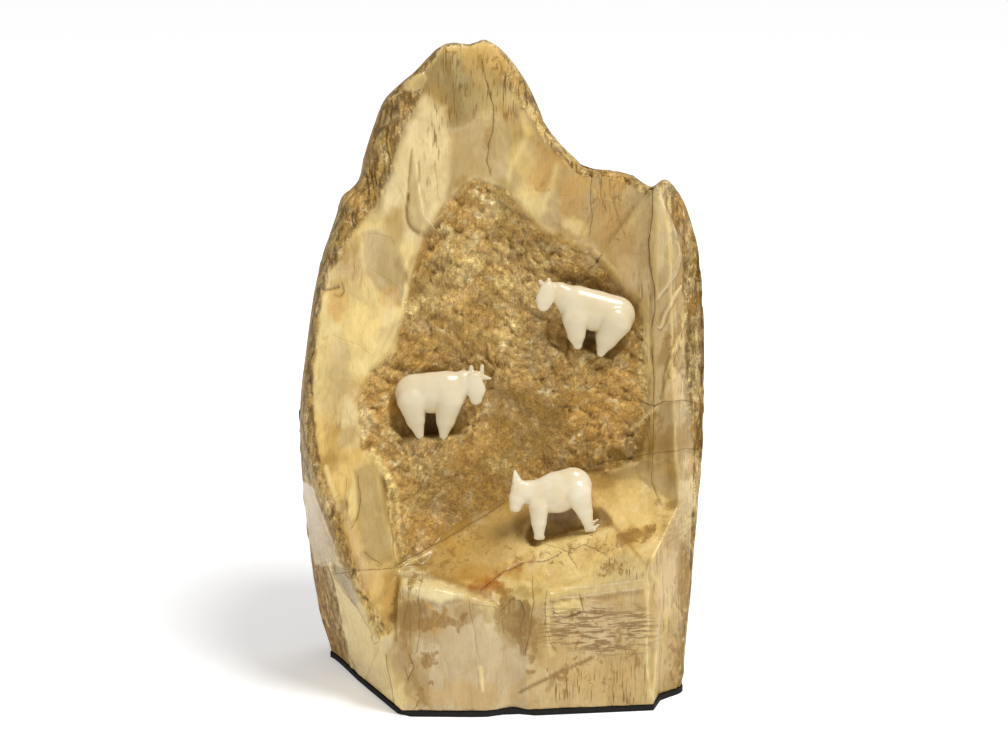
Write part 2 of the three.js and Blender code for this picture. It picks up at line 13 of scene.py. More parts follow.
import bmesh
import bpy
import numpy as np
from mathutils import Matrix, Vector


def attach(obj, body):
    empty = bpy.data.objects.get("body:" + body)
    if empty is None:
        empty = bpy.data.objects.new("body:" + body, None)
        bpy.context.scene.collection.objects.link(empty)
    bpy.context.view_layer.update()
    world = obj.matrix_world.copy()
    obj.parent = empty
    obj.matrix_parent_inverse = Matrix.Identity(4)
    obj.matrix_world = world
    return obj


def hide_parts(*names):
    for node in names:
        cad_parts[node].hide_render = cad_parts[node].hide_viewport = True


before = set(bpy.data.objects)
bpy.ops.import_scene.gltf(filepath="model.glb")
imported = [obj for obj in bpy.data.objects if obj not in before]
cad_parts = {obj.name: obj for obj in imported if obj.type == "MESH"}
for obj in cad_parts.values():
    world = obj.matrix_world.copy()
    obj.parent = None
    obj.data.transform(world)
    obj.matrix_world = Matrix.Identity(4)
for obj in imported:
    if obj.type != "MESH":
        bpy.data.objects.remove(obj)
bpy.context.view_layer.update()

LOG = logging.getLogger("carving")
MM = 0.001

# Numbers that stand for farther than any place, and for no length at all.
BEYOND = 1e9
TINY = 1e-12

# A depth in front of the whole carving, where a hollow is absent.
IN_FRONT = -99.0

# Where a distance is only kept near its line or point, this stands for far from it.
FAR = 9.0

# The part of a whole number that hashing keeps.
LOW_BITS = 0xFFFFFFFF

# Where the carving's own origin stands in the finished part.
PLACE = np.array([1.07, -7.06, 0.0])

# The front is laid out square to a line of sight that looks down on it by this angle.
LOOK = math.radians(20.0)
LOOK_SIN = math.sin(LOOK)
LOOK_COS = math.cos(LOOK)
LOOK_TAN = math.tan(LOOK)

Array = np.ndarray
Point2 = tuple[float, float]
Point3 = tuple[float, float, float]
Places = tuple[Array, Array, Array]
Socket = bpy.types.NodeSocket


def smooth_step(start: float, end: float, value: Array) -> Array:
    """Rise smoothly from 0 at start to 1 at end.

    Args:
        start: Value where the rise begins.
        end: Value where it is done.
        value: Values to map.

    Returns:
        The risen values, from 0 to 1.
    """
    t = np.clip((value - start) / (end - start), 0.0, 1.0)
    return t * t * (3.0 - 2.0 * t)


def blend(a: Array, b: Array, amount: Array) -> Array:
    """Return a where amount is 0 and b where it is 1."""
    return a + (b - a) * amount


def soft_max(a: Array, b: Array, width: float) -> Array:
    """Return the larger of a and b, with the meeting rounded over width."""
    h = np.clip(0.5 + 0.5 * (a - b) / width, 0.0, 1.0)
    return b + (a - b) * h + width * h * (1.0 - h)


def soft_min(a: Array, b: Array, width: float) -> Array:
    """Return the smaller of a and b, with the meeting rounded over width."""
    return -soft_max(-a, -b, width)


def lattice_hash(cell: Sequence[Array], seed: int) -> Array:
    """Give each whole-number place its own fixed number from 0 to 1.

    Args:
        cell: Whole numbers along x, y and z.
        seed: Picks one of many sets of numbers.

    Returns:
        Numbers from 0 to 1.
    """
    # Large odd numbers, which scatter the numbers of neighbouring places.
    total = sum(part * odd for part, odd in zip(cell, (374761393, 668265263, 1440662683)))
    h = (total + seed * 974634777) & LOW_BITS
    h = ((h ^ (h >> 13)) * 1274126177) & LOW_BITS
    h = ((h ^ (h >> 16)) * 2246822519) & LOW_BITS
    return ((h ^ (h >> 15)) & 0xFFFFFF) / float(0x1000000)


def value_noise(at: Places, size: Point3, seed: int = 0) -> Array:
    """Smooth noise from -1 to 1 whose lumps are about size across.

    Args:
        at: Places along x, y and z, in the unit of size.
        size: Lump size along each axis.
        seed: Picks one of many patterns.

    Returns:
        Noise at each place.
    """
    scaled = [part / lump for part, lump in zip(at, size)]
    whole = [np.floor(part).astype(np.int64) for part in scaled]
    rise = [smooth_step(0.0, 1.0, part - np.floor(part)) for part in scaled]
    total = np.zeros(np.shape(scaled[0]))
    for corner in product((0, 1), repeat=3):
        fx, fy, fz = (f if end else 1 - f for f, end in zip(rise, corner))
        total = total + fx * fy * fz * lattice_hash([w + end for w, end in zip(whole, corner)], seed)
    return total * 2.0 - 1.0


def layered_noise(at: Places, size: Point3, octaves: int, seed: int = 0) -> Array:
    """Add noise layers, each half as large and half as strong as the one before.

    Args:
        at: Places along x, y and z, in the unit of size.
        size: Lump size of the first layer.
        octaves: How many layers.
        seed: Picks one of many patterns.

    Returns:
        Noise at each place.
    """
    total = np.zeros(np.shape(at[0]))
    for k in range(octaves):
        total = total + value_noise(at, tuple(s / 2**k for s in size), seed + 17 * k) / 2**k
    return total


def cell_facets(at: Places, size: float, seed: int = 0) -> tuple[Array, ...]:
    """Break space into cells about random points, as broken stone breaks.

    Args:
        at: Places along x, y and z in mm.
        size: Mean cell size in mm.
        seed: Picks one of many patterns.

    Returns:
        Distance to the nearest cell point and to the second nearest in cell sizes, a tilt from -1
        to 1 that is flat across each cell, and a number from 0 to 1 that is the cell's own.
    """
    scaled = [part / size for part in at]
    whole = [np.floor(part).astype(np.int64) for part in scaled]
    first = np.full(np.shape(scaled[0]), FAR)
    second = first.copy()
    tilt = 0 * first
    own = 0 * first
    for step in product((-1, 0, 1), repeat=3):
        cell = [w + s for w, s in zip(whole, step)]
        rx, ry, rz = (p - c - lattice_hash(cell, seed + k) for k, (p, c) in enumerate(zip(scaled, cell)))
        distance = np.sqrt(rx * rx + ry * ry + rz * rz)
        slope_x, slope_z = (lattice_hash(cell, seed + k) * 2.0 - 1.0 for k in (3, 4))
        nearer = distance < first
        second = np.where(nearer, first, np.minimum(second, distance))
        tilt = np.where(nearer, slope_x * rx + slope_z * rz, tilt)
        own = np.where(nearer, (slope_x * 37.0 + slope_z * 91.0) % 1.0, own)
        first = np.where(nearer, distance, first)
    return first, second, tilt, own


def laid_out(y: Array, z: Array) -> Array:
    """Return the laid-out height v of a place at depth y and height z."""
    return y * LOOK_SIN + z * LOOK_COS


def height_at(y: Array, v: Array) -> Array:
    """Return the height z of the place at depth y that is laid out at v."""
    return (v - y * LOOK_SIN) / LOOK_COS


def distance_to(x: Array, h: Array, line: Array,
                values: Array | None = None) -> tuple[Array, Array, Array]:
    """Measure how far places are from a line of corners.

    Args:
        x: Places across in mm.
        h: Places up in mm.
        line: Corners, one row of two numbers each.
        values: A number at each corner, carried along the line.

    Returns:
        The distance, the value at the nearest place, and the side: 1 left of the line's way, -1
        right of it.
    """
    best = np.full(np.shape(x), BEYOND)
    carried = np.zeros(np.shape(x))
    side = np.ones(np.shape(x))
    for i in range(len(line) - 1):
        ex, eh = line[i + 1] - line[i]
        span = ex * ex + eh * eh + TINY
        along = np.clip(((x - line[i][0]) * ex + (h - line[i][1]) * eh) / span, 0, 1)
        dx = x - line[i][0] - along * ex
        dh = h - line[i][1] - along * eh
        square = dx * dx + dh * dh
        nearer = square < best
        best = np.where(nearer, square, best)
        side = np.where(nearer, np.where(ex * dh - eh * dx >= 0, 1.0, -1.0), side)
        if values is not None:
            carried = np.where(nearer, values[i] + along * (values[i + 1] - values[i]), carried)
    return np.sqrt(best), carried, side


def inside_of(x: Array, h: Array, ring: Array) -> Array:
    """Tell which places lie inside a closed ring of corners.

    Args:
        x: Places across.
        h: Places up.
        ring: Corners, one row of two numbers each.

    Returns:
        True where a place is inside.
    """
    inside = np.zeros(np.shape(x), bool)
    for a, b in zip(ring, np.roll(ring, -1, axis=0)):
        if a[1] == b[1]:
            continue
        crosses = (a[1] > h) != (b[1] > h)
        inside ^= crosses & (x < (b[0] - a[0]) * (h - a[1]) / (b[1] - a[1]) + a[0])
    return inside


def curve_through(corners: Array, step: float) -> Array:
    """Run a centripetal Catmull-Rom curve through corners.

    Args:
        corners: Corners, one row each; each column is carried along.
        step: Length between its points.

    Returns:
        The curve's points, one row each.
    """
    before = 2 * corners[0] - corners[1]
    after = 2 * corners[-1] - corners[-2]
    points = np.vstack([before, corners, after])
    out = []
    for i in range(1, len(points) - 2):
        p = points[i - 1:i + 3]
        knots = np.concatenate([[0.0], np.cumsum(np.linalg.norm(np.diff(p, axis=0), axis=1) ** 0.5)])
        count = max(2, int(np.linalg.norm(p[2] - p[1]) / step))
        for t in np.linspace(knots[1], knots[2], count, endpoint=False):
            level = list(p)
            for width in (1, 2, 3):
                ends = [(knots[k], knots[k + width]) for k in range(4 - width)]
                ends = ends if width < 3 else [(knots[1], knots[2])]
                shares = [(t - low) / (high - low) for low, high in ends]
                level = [level[k] * (1 - share) + level[k + 1] * share for k, share in enumerate(shares)]
            out.append(level[0])
    out.append(points[-2])
    return np.array(out)


@dataclass(frozen=True)
class Cut:
    """A flat cut across the front.

    Attributes:
        at: A point on the cut in mm.
        turn: How far it faces to the right, in degrees.
        lift: How far it faces up, in degrees.
    """

    at: Point3
    turn: float
    lift: float

    def depth(self, x: Array, v: Array) -> Array:
        """Meet the cut with lines of sight.

        Args:
            x: Places across in mm.
            v: Laid-out places up in mm.

        Returns:
            The depth of each meeting in mm.
        """
        turn, lift = math.radians(self.turn), math.radians(self.lift)
        nx = math.sin(turn) * math.cos(lift)
        ny = -math.cos(turn) * math.cos(lift)
        nz = math.sin(lift)
        reach = nx * self.at[0] + ny * self.at[1] + nz * self.at[2]
        return (reach - nx * x - nz * v / LOOK_COS) / (ny - nz * LOOK_TAN)


@dataclass(frozen=True)
class Hollow:
    """A scooped hollow that a goat stands in.

    Attributes:
        foot: A point on the line of the near feet in mm.
        slope: How much the floor rises per mm to the right.
        at: Middle of the hollow, as a laid-out place.
        half: Half sizes there.
        mouth: Depth of its mouth.
        deep: How much deeper it goes.
        proud: How far the wall swells out into a step below it.
        step_half: Half sizes of that step.
        step_down: How far below the feet it is.
        brow: How far the wall draws back above the hollow.
        brow_half: Half sizes of where it does.
        brow_up: How far above the feet that is.
    """

    foot: Point3
    slope: float
    at: Point2
    half: Point2
    mouth: float
    deep: float
    proud: float
    step_half: Point2 = (13.0, 9.0)
    step_down: float = 4.0
    brow: float = 1.8
    brow_half: Point2 = (14.0, 9.0)
    brow_up: float = 15.0

    def depth(self, x: Array, v: Array) -> Array:
        """Meet the hollow with lines of sight.

        Args:
            x: Places across in mm.
            v: Laid-out places up in mm.

        Returns:
            Its depth in mm, far in front where there is none.
        """
        lean = -self.slope
        reach = lean * self.foot[0] + self.foot[2]
        floor = (reach - lean * x - v / LOOK_COS) / -LOOK_TAN
        inside = 1.0 - ((x - self.at[0]) / self.half[0]) ** 2 - ((v - self.at[1]) / self.half[1]) ** 2
        bowl = np.where(inside > 0, self.mouth + self.deep * np.sqrt(np.clip(inside, 0, 1)), IN_FRONT)
        return np.minimum(bowl, floor)

    def swelling(self, x: Array, v: Array) -> Array:
        """Work out how the hollow's making has shaped the wall round it.

        Args:
            x: Places across in mm.
            v: Laid-out places up in mm.

        Returns:
            How much deeper the wall lies in mm, less than 0 where it stands out.
        """
        aside = x - self.at[0]
        over = v - laid_out(self.foot[1], self.foot[2])
        wide, high = self.step_half
        below = np.exp(-((aside / wide) ** 2) - ((over + self.step_down) / high) ** 2)
        wide, high = self.brow_half
        above = np.exp(-((aside / wide) ** 2) - ((over - self.brow_up) / high) ** 2)
        return -self.proud * below + self.brow * above


class Face(Enum):
    """The facets of the front."""

    FRONT_LEFT = "front_left"
    FRONT_RIGHT = "front_right"
    CORNER_RIGHT = "corner_right"
    CORNER_LEFT = "corner_left"
    LEDGE = "ledge"
    CORE = "core"
    FLANK = "flank"
    SLAB = "slab"
    RIGHT = "right"
    UPPER_RIGHT = "upper_right"
    PEAK = "peak"
    PEAK_TOP = "peak_top"
    HOLLOW = "hollow"


@dataclass
class TuskForm:
    """The chunk of tusk: its outline, its cuts and its round back, all in mm.

    Attributes:
        outline: Corners of the outline: across, up, and the width of the band of skin there.
        core_border: Corners of the rough core's border, as laid-out places.
        cuts: The flat cuts of the front.
        hollows: The hollows that the goats stand in.
        half_width: Half the width that the edge's depth changes over.
        edge_left: Depth of the left edge.
        edge_left_swing: How much deeper the left edge lies at the foot.
        edge_right_swing: How much deeper the right edge lies there.
        edge_swing_top: Height where the edges begin to swing.
        edge_top: Depth of the edge round the peak.
        edge_rise: Heights between which the edge passes to that depth.
        back_bulge: How far the back stands out behind the edge.
        back_rounding: How far from the outline it stops being round.
        core_step: How deep the core lies behind the faces round it.
        saw_cut: Height of the flat sawn foot.
        centre_height: Height of the middle of the outline.
        sharp: How far the sharpest creases are rounded.
        crisp: The same of creases between cuts.
        worn: The same of worn creases.
        soft: The same of the softest creases.
        flute: Depth, place across and half width of the flute down the block.
        dish: Depth, place across and half width of the dished back wall.
        splinter: How far the splinter on the right stands out.
        splinter_side: Places across between which it does.
        splinter_foot: Laid-out heights between which it begins.
        peak_rise: Laid-out heights between which the peak's facets take over.
        lip_top: Height of the block's lip at its left end.
        lip_left: Place across of that end.
        lip_fall: How much the lip falls per square mm from there.
    """

    outline: list[Point3] = field(default_factory=lambda: [
        (-47.0, -24.0, 9.0), (-50.2, 0.0, 9.0), (-53.9, 15.5, 9.0), (-55.7, 30.7, 9.0),
        (-57.6, 60.0, 8.0), (-56.8, 79.5, 5.0), (-55.4, 90.3, 4.6), (-52.1, 111.3, 4.4),
        (-49.5, 121.7, 6.5), (-46.3, 131.8, 9.0), (-44.8, 136.3, 9.2), (-40.3, 141.2, 9.2),
        (-38.4, 148.3, 8.5), (-35.6, 156.7, 7.5), (-32.8, 163.2, 6.0), (-28.4, 167.8, 5.0),
        (-24.6, 170.9, 3.5), (-18.3, 177.3, 2.2), (-14.2, 179.2, 2.0), (-9.3, 178.7, 1.5),
        (-5.4, 179.8, 1.5), (-0.8, 177.3, 1.8), (4.6, 170.9, 2.5), (8.2, 164.5, 3.0),
        (10.7, 158.1, 3.5), (14.2, 152.8, 4.0), (19.7, 146.9, 4.0), (22.4, 144.4, 4.0),
        (29.0, 143.8, 4.5), (34.9, 142.3, 4.5), (38.5, 139.8, 3.5), (40.2, 138.8, 2.5),
        (42.0, 140.2, 2.0), (44.5, 140.7, 2.5), (46.1, 140.0, 3.5), (49.2, 136.7, 4.5),
        (52.6, 126.9, 5.0), (54.6, 110.1, 5.5), (55.4, 90.0, 5.0), (55.3, 70.7, 3.0),
        (53.7, 45.9, 1.5), (52.2, 25.7, 1.5), (50.6, 5.6, 1.5), (48.0, -24.0, 1.5)])
    core_border: list[Point2] = field(default_factory=lambda: [
        (-7.9, 135.5), (-14.7, 130.3), (-20.8, 122.5), (-23.1, 115.9), (-25.4, 108.0),
        (-27.3, 101.1), (-30.1, 90.2), (-36.4, 84.7), (-40.4, 76.3), (-39.1, 65.4),
        (-34.2, 57.2), (-32.9, 49.0), (-30.3, 38.1), (-28.4, 32.0), (-17.9, 38.1),
        (0.0, 47.7), (24.4, 56.5), (37.8, 61.5), (39.9, 71.2), (39.8, 82.1), (37.5, 95.7),
        (34.6, 103.6), (29.6, 111.7), (23.6, 117.9), (15.3, 119.7), (8.5, 124.6),
        (4.4, 129.0), (-1.1, 133.4)])
    cuts: dict[str, Cut] = field(default_factory=lambda: {
        "front_left": Cut((-12, -28.3, 10), -1, 1.5),
        "front_right": Cut((12, -26.9, 10), 6, 1.5),
        "corner_right": Cut((41, -24, 25), 54, 4),
        "corner_foot": Cut((41.3, -24, 3), 74, -2),
        "corner_foot_back": Cut((43.5, -17, 3), 38, -6),
        "corner_left": Cut((-37, -13, 5), -62, -14),
        "ledge_right": Cut((11, -27.5, 34.5), -27, 50),
        "ledge_left": Cut((-4.6, -27, 32.8), -27.8, 55.2),
        "ledge_end": Cut((41, -1.5, 61.5), -12, 48),
        "ledge_low": Cut((-30, -22, 36.4), 0, 84),
        "ledge_foot": Cut((-28.2, -28.3, 33), -40, 8),
        "back_wall": Cut((0, 0, 60), 0, 3),
        "left_flank": Cut((-29, -3, 100), 24, 1),
        "left_slab": Cut((-36, -14.5, 50), 33, 16),
        "right_flank": Cut((41, -3.5, 95), -38, 1),
        "upper_right": Cut((30, -1, 125), -8, 3),
        "peak_left": Cut((-24, -3, 150), 32, 9),
        "peak_middle": Cut((-5, 1.5, 150), 3, 9),
        "peak_top": Cut((-5, 4, 165), -3, 16),
        "peak_right": Cut((6, 2.5, 150), -14, 6)})
    hollows: dict[str, Hollow] = field(default_factory=lambda: {
        "goat_middle": Hollow((-20, -6.5, 72.5), 0.0, (-18.5, 76), (14, 13), -5, 9, 4.0),
        "goat_upper": Hollow((23.7, -5, 96.2), -0.38, (24.5, 99.5), (14.5, 13), -4, 10, 4.5),
        "goat_lower": Hollow((17, -13.6, 46.1), 0.26, (16.5, 46), (14.5, 11.5), -14, 9.5, 0.0)})
    half_width: float = 57.0
    edge_left: float = 9.5
    edge_left_swing: float = 7.0
    edge_right_swing: float = -11.0
    edge_swing_top: float = 95.0
    edge_top: float = 13.0
    back_bulge: float = 36.0
    back_rounding: float = 57.0
    core_step: float = 2.2
    saw_cut: float = 1.8
    centre_height: float = 88.0
    edge_rise: Point2 = (118.0, 148.0)
    sharp: float = 0.5
    crisp: float = 0.8
    worn: float = 1.5
    soft: float = 2.0
    flute: Point3 = (2.6, 2.5, 4.5)
    dish: Point3 = (6.5, 10.0, 45.0)
    splinter: float = 1.4
    splinter_side: Point2 = (40.0, 41.4)
    splinter_foot: Point2 = (56.0, 60.0)
    peak_rise: Point2 = (118.0, 132.0)
    lip_top: float = 37.4
    lip_left: float = -28.0
    lip_fall: float = 0.008

    def __post_init__(self) -> None:
        """Work out the smooth outline and the laid-out lines that places are measured from."""
        self.rim = curve_through(np.array(self.outline), 0.9)
        across, up = self.rim[:, 0], self.rim[:, 1]
        self.rim_v = laid_out(self.edge_depth(across, up), up)
        self.core_ring = np.array(self.core_border + self.core_border[:1])

    def edge_depth(self, x: Array, z: Array) -> Array:
        """Work out the depth of the outline's edge.

        Args:
            x: Places across in mm.
            z: Heights in mm.

        Returns:
            The depth in mm.
        """
        fall = np.maximum(1.0 - z / self.edge_swing_top, 0.0)
        left = self.edge_left + self.edge_left_swing * fall**1.3
        right = self.edge_right_swing * fall**1.2
        across = np.clip((x + self.half_width) / (2 * self.half_width), 0.0, 1.0)
        side = blend(left, right, across)
        return blend(side, self.edge_top, smooth_step(*self.edge_rise, z))

    def core_distance(self, x: Array, v: Array) -> Array:
        """Return how far inside the rough core's border a place is, negative outside."""
        distance, _, _ = distance_to(x, v, self.core_ring)
        return np.where(inside_of(x, v, self.core_ring[:-1]), distance, -distance)

    def front(self, x: Array, v: Array) -> tuple[Array, dict[Face, Array], dict[str, Array]]:
        """Work out the front's depth and which facet each place belongs to.

        Args:
            x: Places across in mm.
            v: Laid-out places up in mm.

        Returns:
            The depth, how much each place belongs to each facet, and measures in mm: the distance
            inside the core's border, to the outline, and the skin band's width there.
        """
        at = {name: cut.depth(x, v) for name, cut in self.cuts.items()}
        # The block: two front facets with a flute between, and a cut corner on either side.
        deep, middle, wide = self.flute
        left_half = at["front_left"] + deep * np.exp(-(((x - middle) / wide) ** 2))
        front = soft_max(left_half, at["front_right"], self.sharp)
        foot = soft_min(at["corner_foot"], at["corner_foot_back"], 2 * self.sharp)
        corner = soft_max(at["corner_right"], foot, self.crisp)
        cornered = soft_max(front, corner, self.crisp)
        block = soft_max(cornered, at["corner_left"], self.crisp)

        # The ledge that slants up to the right on top of the block.
        slope = soft_min(at["ledge_right"], at["ledge_left"], self.soft)
        low_end = soft_max(at["ledge_low"], at["ledge_foot"], self.crisp)
        ledge = soft_max(soft_min(slope, low_end, self.worn), at["ledge_end"], 2 * self.worn)

        # The wall behind it, up to the peak.
        deep, middle, wide = self.dish
        dished = at["back_wall"] - deep * ((x - middle) / wide) ** 2
        left = soft_min(at["left_flank"], at["left_slab"], self.worn)
        low = soft_min(soft_min(dished, left, self.soft + self.sharp), at["right_flank"], self.soft)
        peak = ridge = soft_min(at["peak_left"], at["peak_middle"], self.soft)
        peak = soft_min(soft_max(peak, at["peak_top"], self.crisp), at["peak_right"], self.crisp)
        top = soft_min(peak, at["upper_right"], self.worn)
        rise = smooth_step(*self.peak_rise, v)
        wall = blend(low, soft_min(top, low + 2 * self.worn, self.soft + self.worn), rise)
        stands = self.splinter * smooth_step(*self.splinter_side, x)
        wall = wall - stands * smooth_step(*self.splinter_foot, v)
        for hollow in self.hollows.values():
            wall = wall + hollow.swelling(x, v)
        core = self.core_distance(x, v)
        sunk = self.core_step * smooth_step(-1.1, 1.1, core)
        notch = soft_min(ledge, wall + sunk, self.crisp)

        # The lip at the left end of the ledge, which hides the foot of the core.
        lip_top = self.lip_top - self.lip_fall * np.maximum(x - self.lip_left, 0.0) ** 2
        lip = (v - lip_top * LOOK_COS) / LOOK_SIN
        on_lip = smooth_step(-19.0, -21.0, lip) * smooth_step(4.0, 0.0, x) * smooth_step(-29.5, -27.5, x)
        notch = blend(notch, np.minimum(lip, notch), on_lip)
        carved = soft_max(block, notch, self.sharp)

        scooped = np.zeros(np.shape(x))
        for hollow in self.hollows.values():
            bowl = hollow.depth(x, v)
            scooped = np.maximum(scooped, smooth_step(-0.3, 0.8, bowl - carved))
            carved = soft_max(carved, bowl, 0.6)

        # The face rounds over to the outline across the band of skin.
        rim_line = np.stack([self.rim[:, 0], self.rim_v], axis=1)
        distance, band, _ = distance_to(x, v, rim_line, self.rim[:, 2])
        edge = self.edge_depth(x, v)
        for _ in range(4):
            edge = self.edge_depth(x, height_at(edge, v))
        share = np.clip(distance / band, 0.0, 1.0)
        depth = blend(edge, carved, np.sqrt(1.0 - (1.0 - share) ** 2))

        # Which facet shows, with its border blurred over less than a mm.
        on_block = smooth_step(-0.3, 0.3, block - notch)
        on_ledge = smooth_step(0.5, -0.5, ledge - wall - sunk)
        masks = {face: np.zeros(np.shape(x)) for face in Face}
        masks[Face.CORNER_LEFT] = on_block * smooth_step(-0.4, 0.4, at["corner_left"] - cornered)
        masks[Face.CORNER_RIGHT] = on_block * smooth_step(-0.4, 0.4, corner - front)
        rest = on_block * (1 - masks[Face.CORNER_LEFT]) * (1 - masks[Face.CORNER_RIGHT])
        masks[Face.FRONT_RIGHT] = rest * smooth_step(-0.4, 0.4, at["front_right"] - left_half)
        masks[Face.FRONT_LEFT] = rest - masks[Face.FRONT_RIGHT]
        masks[Face.LEDGE] = (1 - on_block) * on_ledge
        wall_part = (1 - on_block) * (1 - on_ledge)
        above = wall_part * rise
        below = wall_part * (1 - rise)
        on_left = smooth_step(0.5, -0.5, left - dished)
        on_slab = smooth_step(0.5, -0.5, at["left_slab"] - at["left_flank"])
        masks[Face.SLAB] = below * on_left * on_slab
        masks[Face.FLANK] = below * on_left * (1 - on_slab)
        masks[Face.RIGHT] = below * (1 - on_left) * smooth_step(0.5, -0.5, at["right_flank"] - dished)
        masks[Face.UPPER_RIGHT] = above * smooth_step(0.5, -0.5, at["upper_right"] - peak)
        on_top = smooth_step(-0.4, 0.4, at["peak_top"] - ridge)
        masks[Face.PEAK_TOP] = above * on_top * (1 - masks[Face.UPPER_RIGHT])
        masks[Face.PEAK] = above * (1 - on_top) * (1 - masks[Face.UPPER_RIGHT])
        masks[Face.CORE] = smooth_step(-0.6, 0.6, core) * (1 - on_block)
        masks[Face.HOLLOW] = scooped
        return depth, masks, {"core": core, "edge": distance, "band": band}

    def back(self, x: Array, z: Array) -> Array:
        """Work out the depth of the tusk's round back.

        Args:
            x: Places across in mm.
            z: Heights in mm.

        Returns:
            The depth in mm.
        """
        distance, _, _ = distance_to(x, z, self.rim[:, :2])
        share = np.clip(distance / self.back_rounding, 0.0, 1.0)
        return self.edge_depth(x, z) + self.back_bulge * np.sqrt(1.0 - (1.0 - share) ** 2.2)


def linear(code: str) -> tuple[float, float, float]:
    """Turn an sRGB hex colour into linear light values from 0 to 1."""
    parts = (int(code[i:i + 2], 16) / 255.0 for i in (1, 3, 5))
    return tuple(c / 12.92 if c <= 0.04045 else ((c + 0.055) / 1.055) ** 2.4 for c in parts)


class Tone(Enum):
    """The colours that old tusk ivory shows."""

    WHITE = "#F6EACB"
    CREAM = "#EAD29A"
    TAN = "#967234"
    WARM_CREAM = "#E2C182"
    PINK_CREAM = "#D9BA90"
    GREY_IVORY = "#BDA47C"
    OLIVE = "#A8915C"
    DULL_OLIVE = "#97835C"
    HONEY = "#CC9C54"
    GOLD = "#BC8B40"
    RUST = "#AC621C"
    BROWN = "#8A642A"
    DARK_BROWN = "#5C431C"
    NEAR_BLACK = "#3B3324"
    YELLOW_CREAM = "#F0D496"
    DUST = "#BE9F6A"
    LEATHER = "#9E7A38"
    SAND = "#CBA66C"
    MILKY = "#CDB79B"
    PALE_SAND = "#CCB083"
    BONE = "#E8D3AC"
    AMBER = "#E2B86C"

    @property
    def light(self) -> Array:
        """Return the colour as linear light values."""
        return np.array(linear(self.value))


FACE_TONES = {
    Face.FRONT_LEFT: Tone.MILKY,
    Face.FRONT_RIGHT: Tone.PALE_SAND,
    Face.CORNER_RIGHT: Tone.PALE_SAND,
    Face.CORNER_LEFT: Tone.CREAM,
    Face.LEDGE: Tone.WARM_CREAM,
    Face.FLANK: Tone.CREAM,
    Face.SLAB: Tone.WARM_CREAM,
    Face.RIGHT: Tone.PALE_SAND,
    Face.UPPER_RIGHT: Tone.AMBER,
    Face.PEAK: Tone.GREY_IVORY,
    Face.PEAK_TOP: Tone.DULL_OLIVE,
}


# Millimetres of the carving for one picture unit, at the distance that is looked at.
PICTURE_MM = 0.277


@dataclass(frozen=True)
class Sight:
    """The line of sight that marks are placed by, the same as the camera's.

    Attributes:
        target_height: Height of the point looked at, in mm.
        distance: How far the eye is from it, in mm.
        raised: How far above level the eye is, in degrees.
        lens: Focal length in mm.
        film: Width of the picture on the film, in mm.
        wide: Picture width in picture units.
        high: Picture height in picture units.
    """

    target_height: float = 88.7
    distance: float = 620.0
    raised: float = 15.0
    lens: float = 80.0
    film: float = 36.0
    wide: float = 1008.0
    high: float = 756.0

    def seen(self, x: Array, y: Array, z: Array) -> tuple[Array, Array]:
        """Find where places are seen.

        Args:
            x: Places across in mm.
            y: Depths in mm.
            z: Heights in mm.

        Returns:
            Picture units from the left and from the top.
        """
        up, out = math.sin(math.radians(self.raised)), math.cos(math.radians(self.raised))
        rise = z - self.target_height
        depth = self.distance + y * out - rise * up
        scale = self.lens / self.film * self.wide / depth
        return self.wide / 2 + x * scale, self.high / 2 - (rise * out + y * up) * scale


def strayed(px: Array, py: Array, amount: float, lump: float, octaves: int,
            seed: int) -> tuple[Array, Array]:
    """Move places in the picture about, so that lines and borders wander.

    Args:
        px: Places across in picture units.
        py: Places down in picture units.
        amount: How far they move.
        lump: How far apart they move differently.
        octaves: Layers of ever finer wandering.
        seed: Picks one of many patterns.

    Returns:
        The places across and down.
    """
    size = (lump, lump, 1.0)
    across, down = (amount * layered_noise((px, py, 0 * px), size, octaves, seed + k) for k in (0, 3))
    return px + across, py + down


@dataclass(frozen=True)
class Patch:
    """A soft-edged area, placed where the camera sees it.

    Attributes:
        at: Middle, in picture units.
        half: Half sizes, in picture units.
        strength: Share of the colour in its middle.
        turn: Turn anticlockwise as seen, in degrees.
        ragged: How much its edge wanders, as a share of its size.
        raised: How far it stands out, in mm.
    """

    at: Point2
    half: Point2
    strength: float
    turn: float = 0.0
    ragged: float = 0.35
    raised: float = 0.0

    def cover(self, px: Array, py: Array) -> Array:
        """Work out how much of the patch is at each place.

        Args:
            px: Places across in picture units.
            py: Places down in picture units.

        Returns:
            Shares from 0 to 1.
        """
        turn = math.radians(self.turn)
        dx, dy = px - self.at[0], py - self.at[1]
        along = (dx * math.cos(turn) - dy * math.sin(turn)) / self.half[0]
        across = (dx * math.sin(turn) + dy * math.cos(turn)) / self.half[1]
        lump = max(min(self.half), 4.0)
        wander = layered_noise((px, py, 0 * px), (lump, lump, 1.0), 3, int(self.at[0] + 7 * self.at[1]))
        return smooth_step(1.15, 0.55, np.sqrt(along**2 + across**2) + self.ragged * wander)


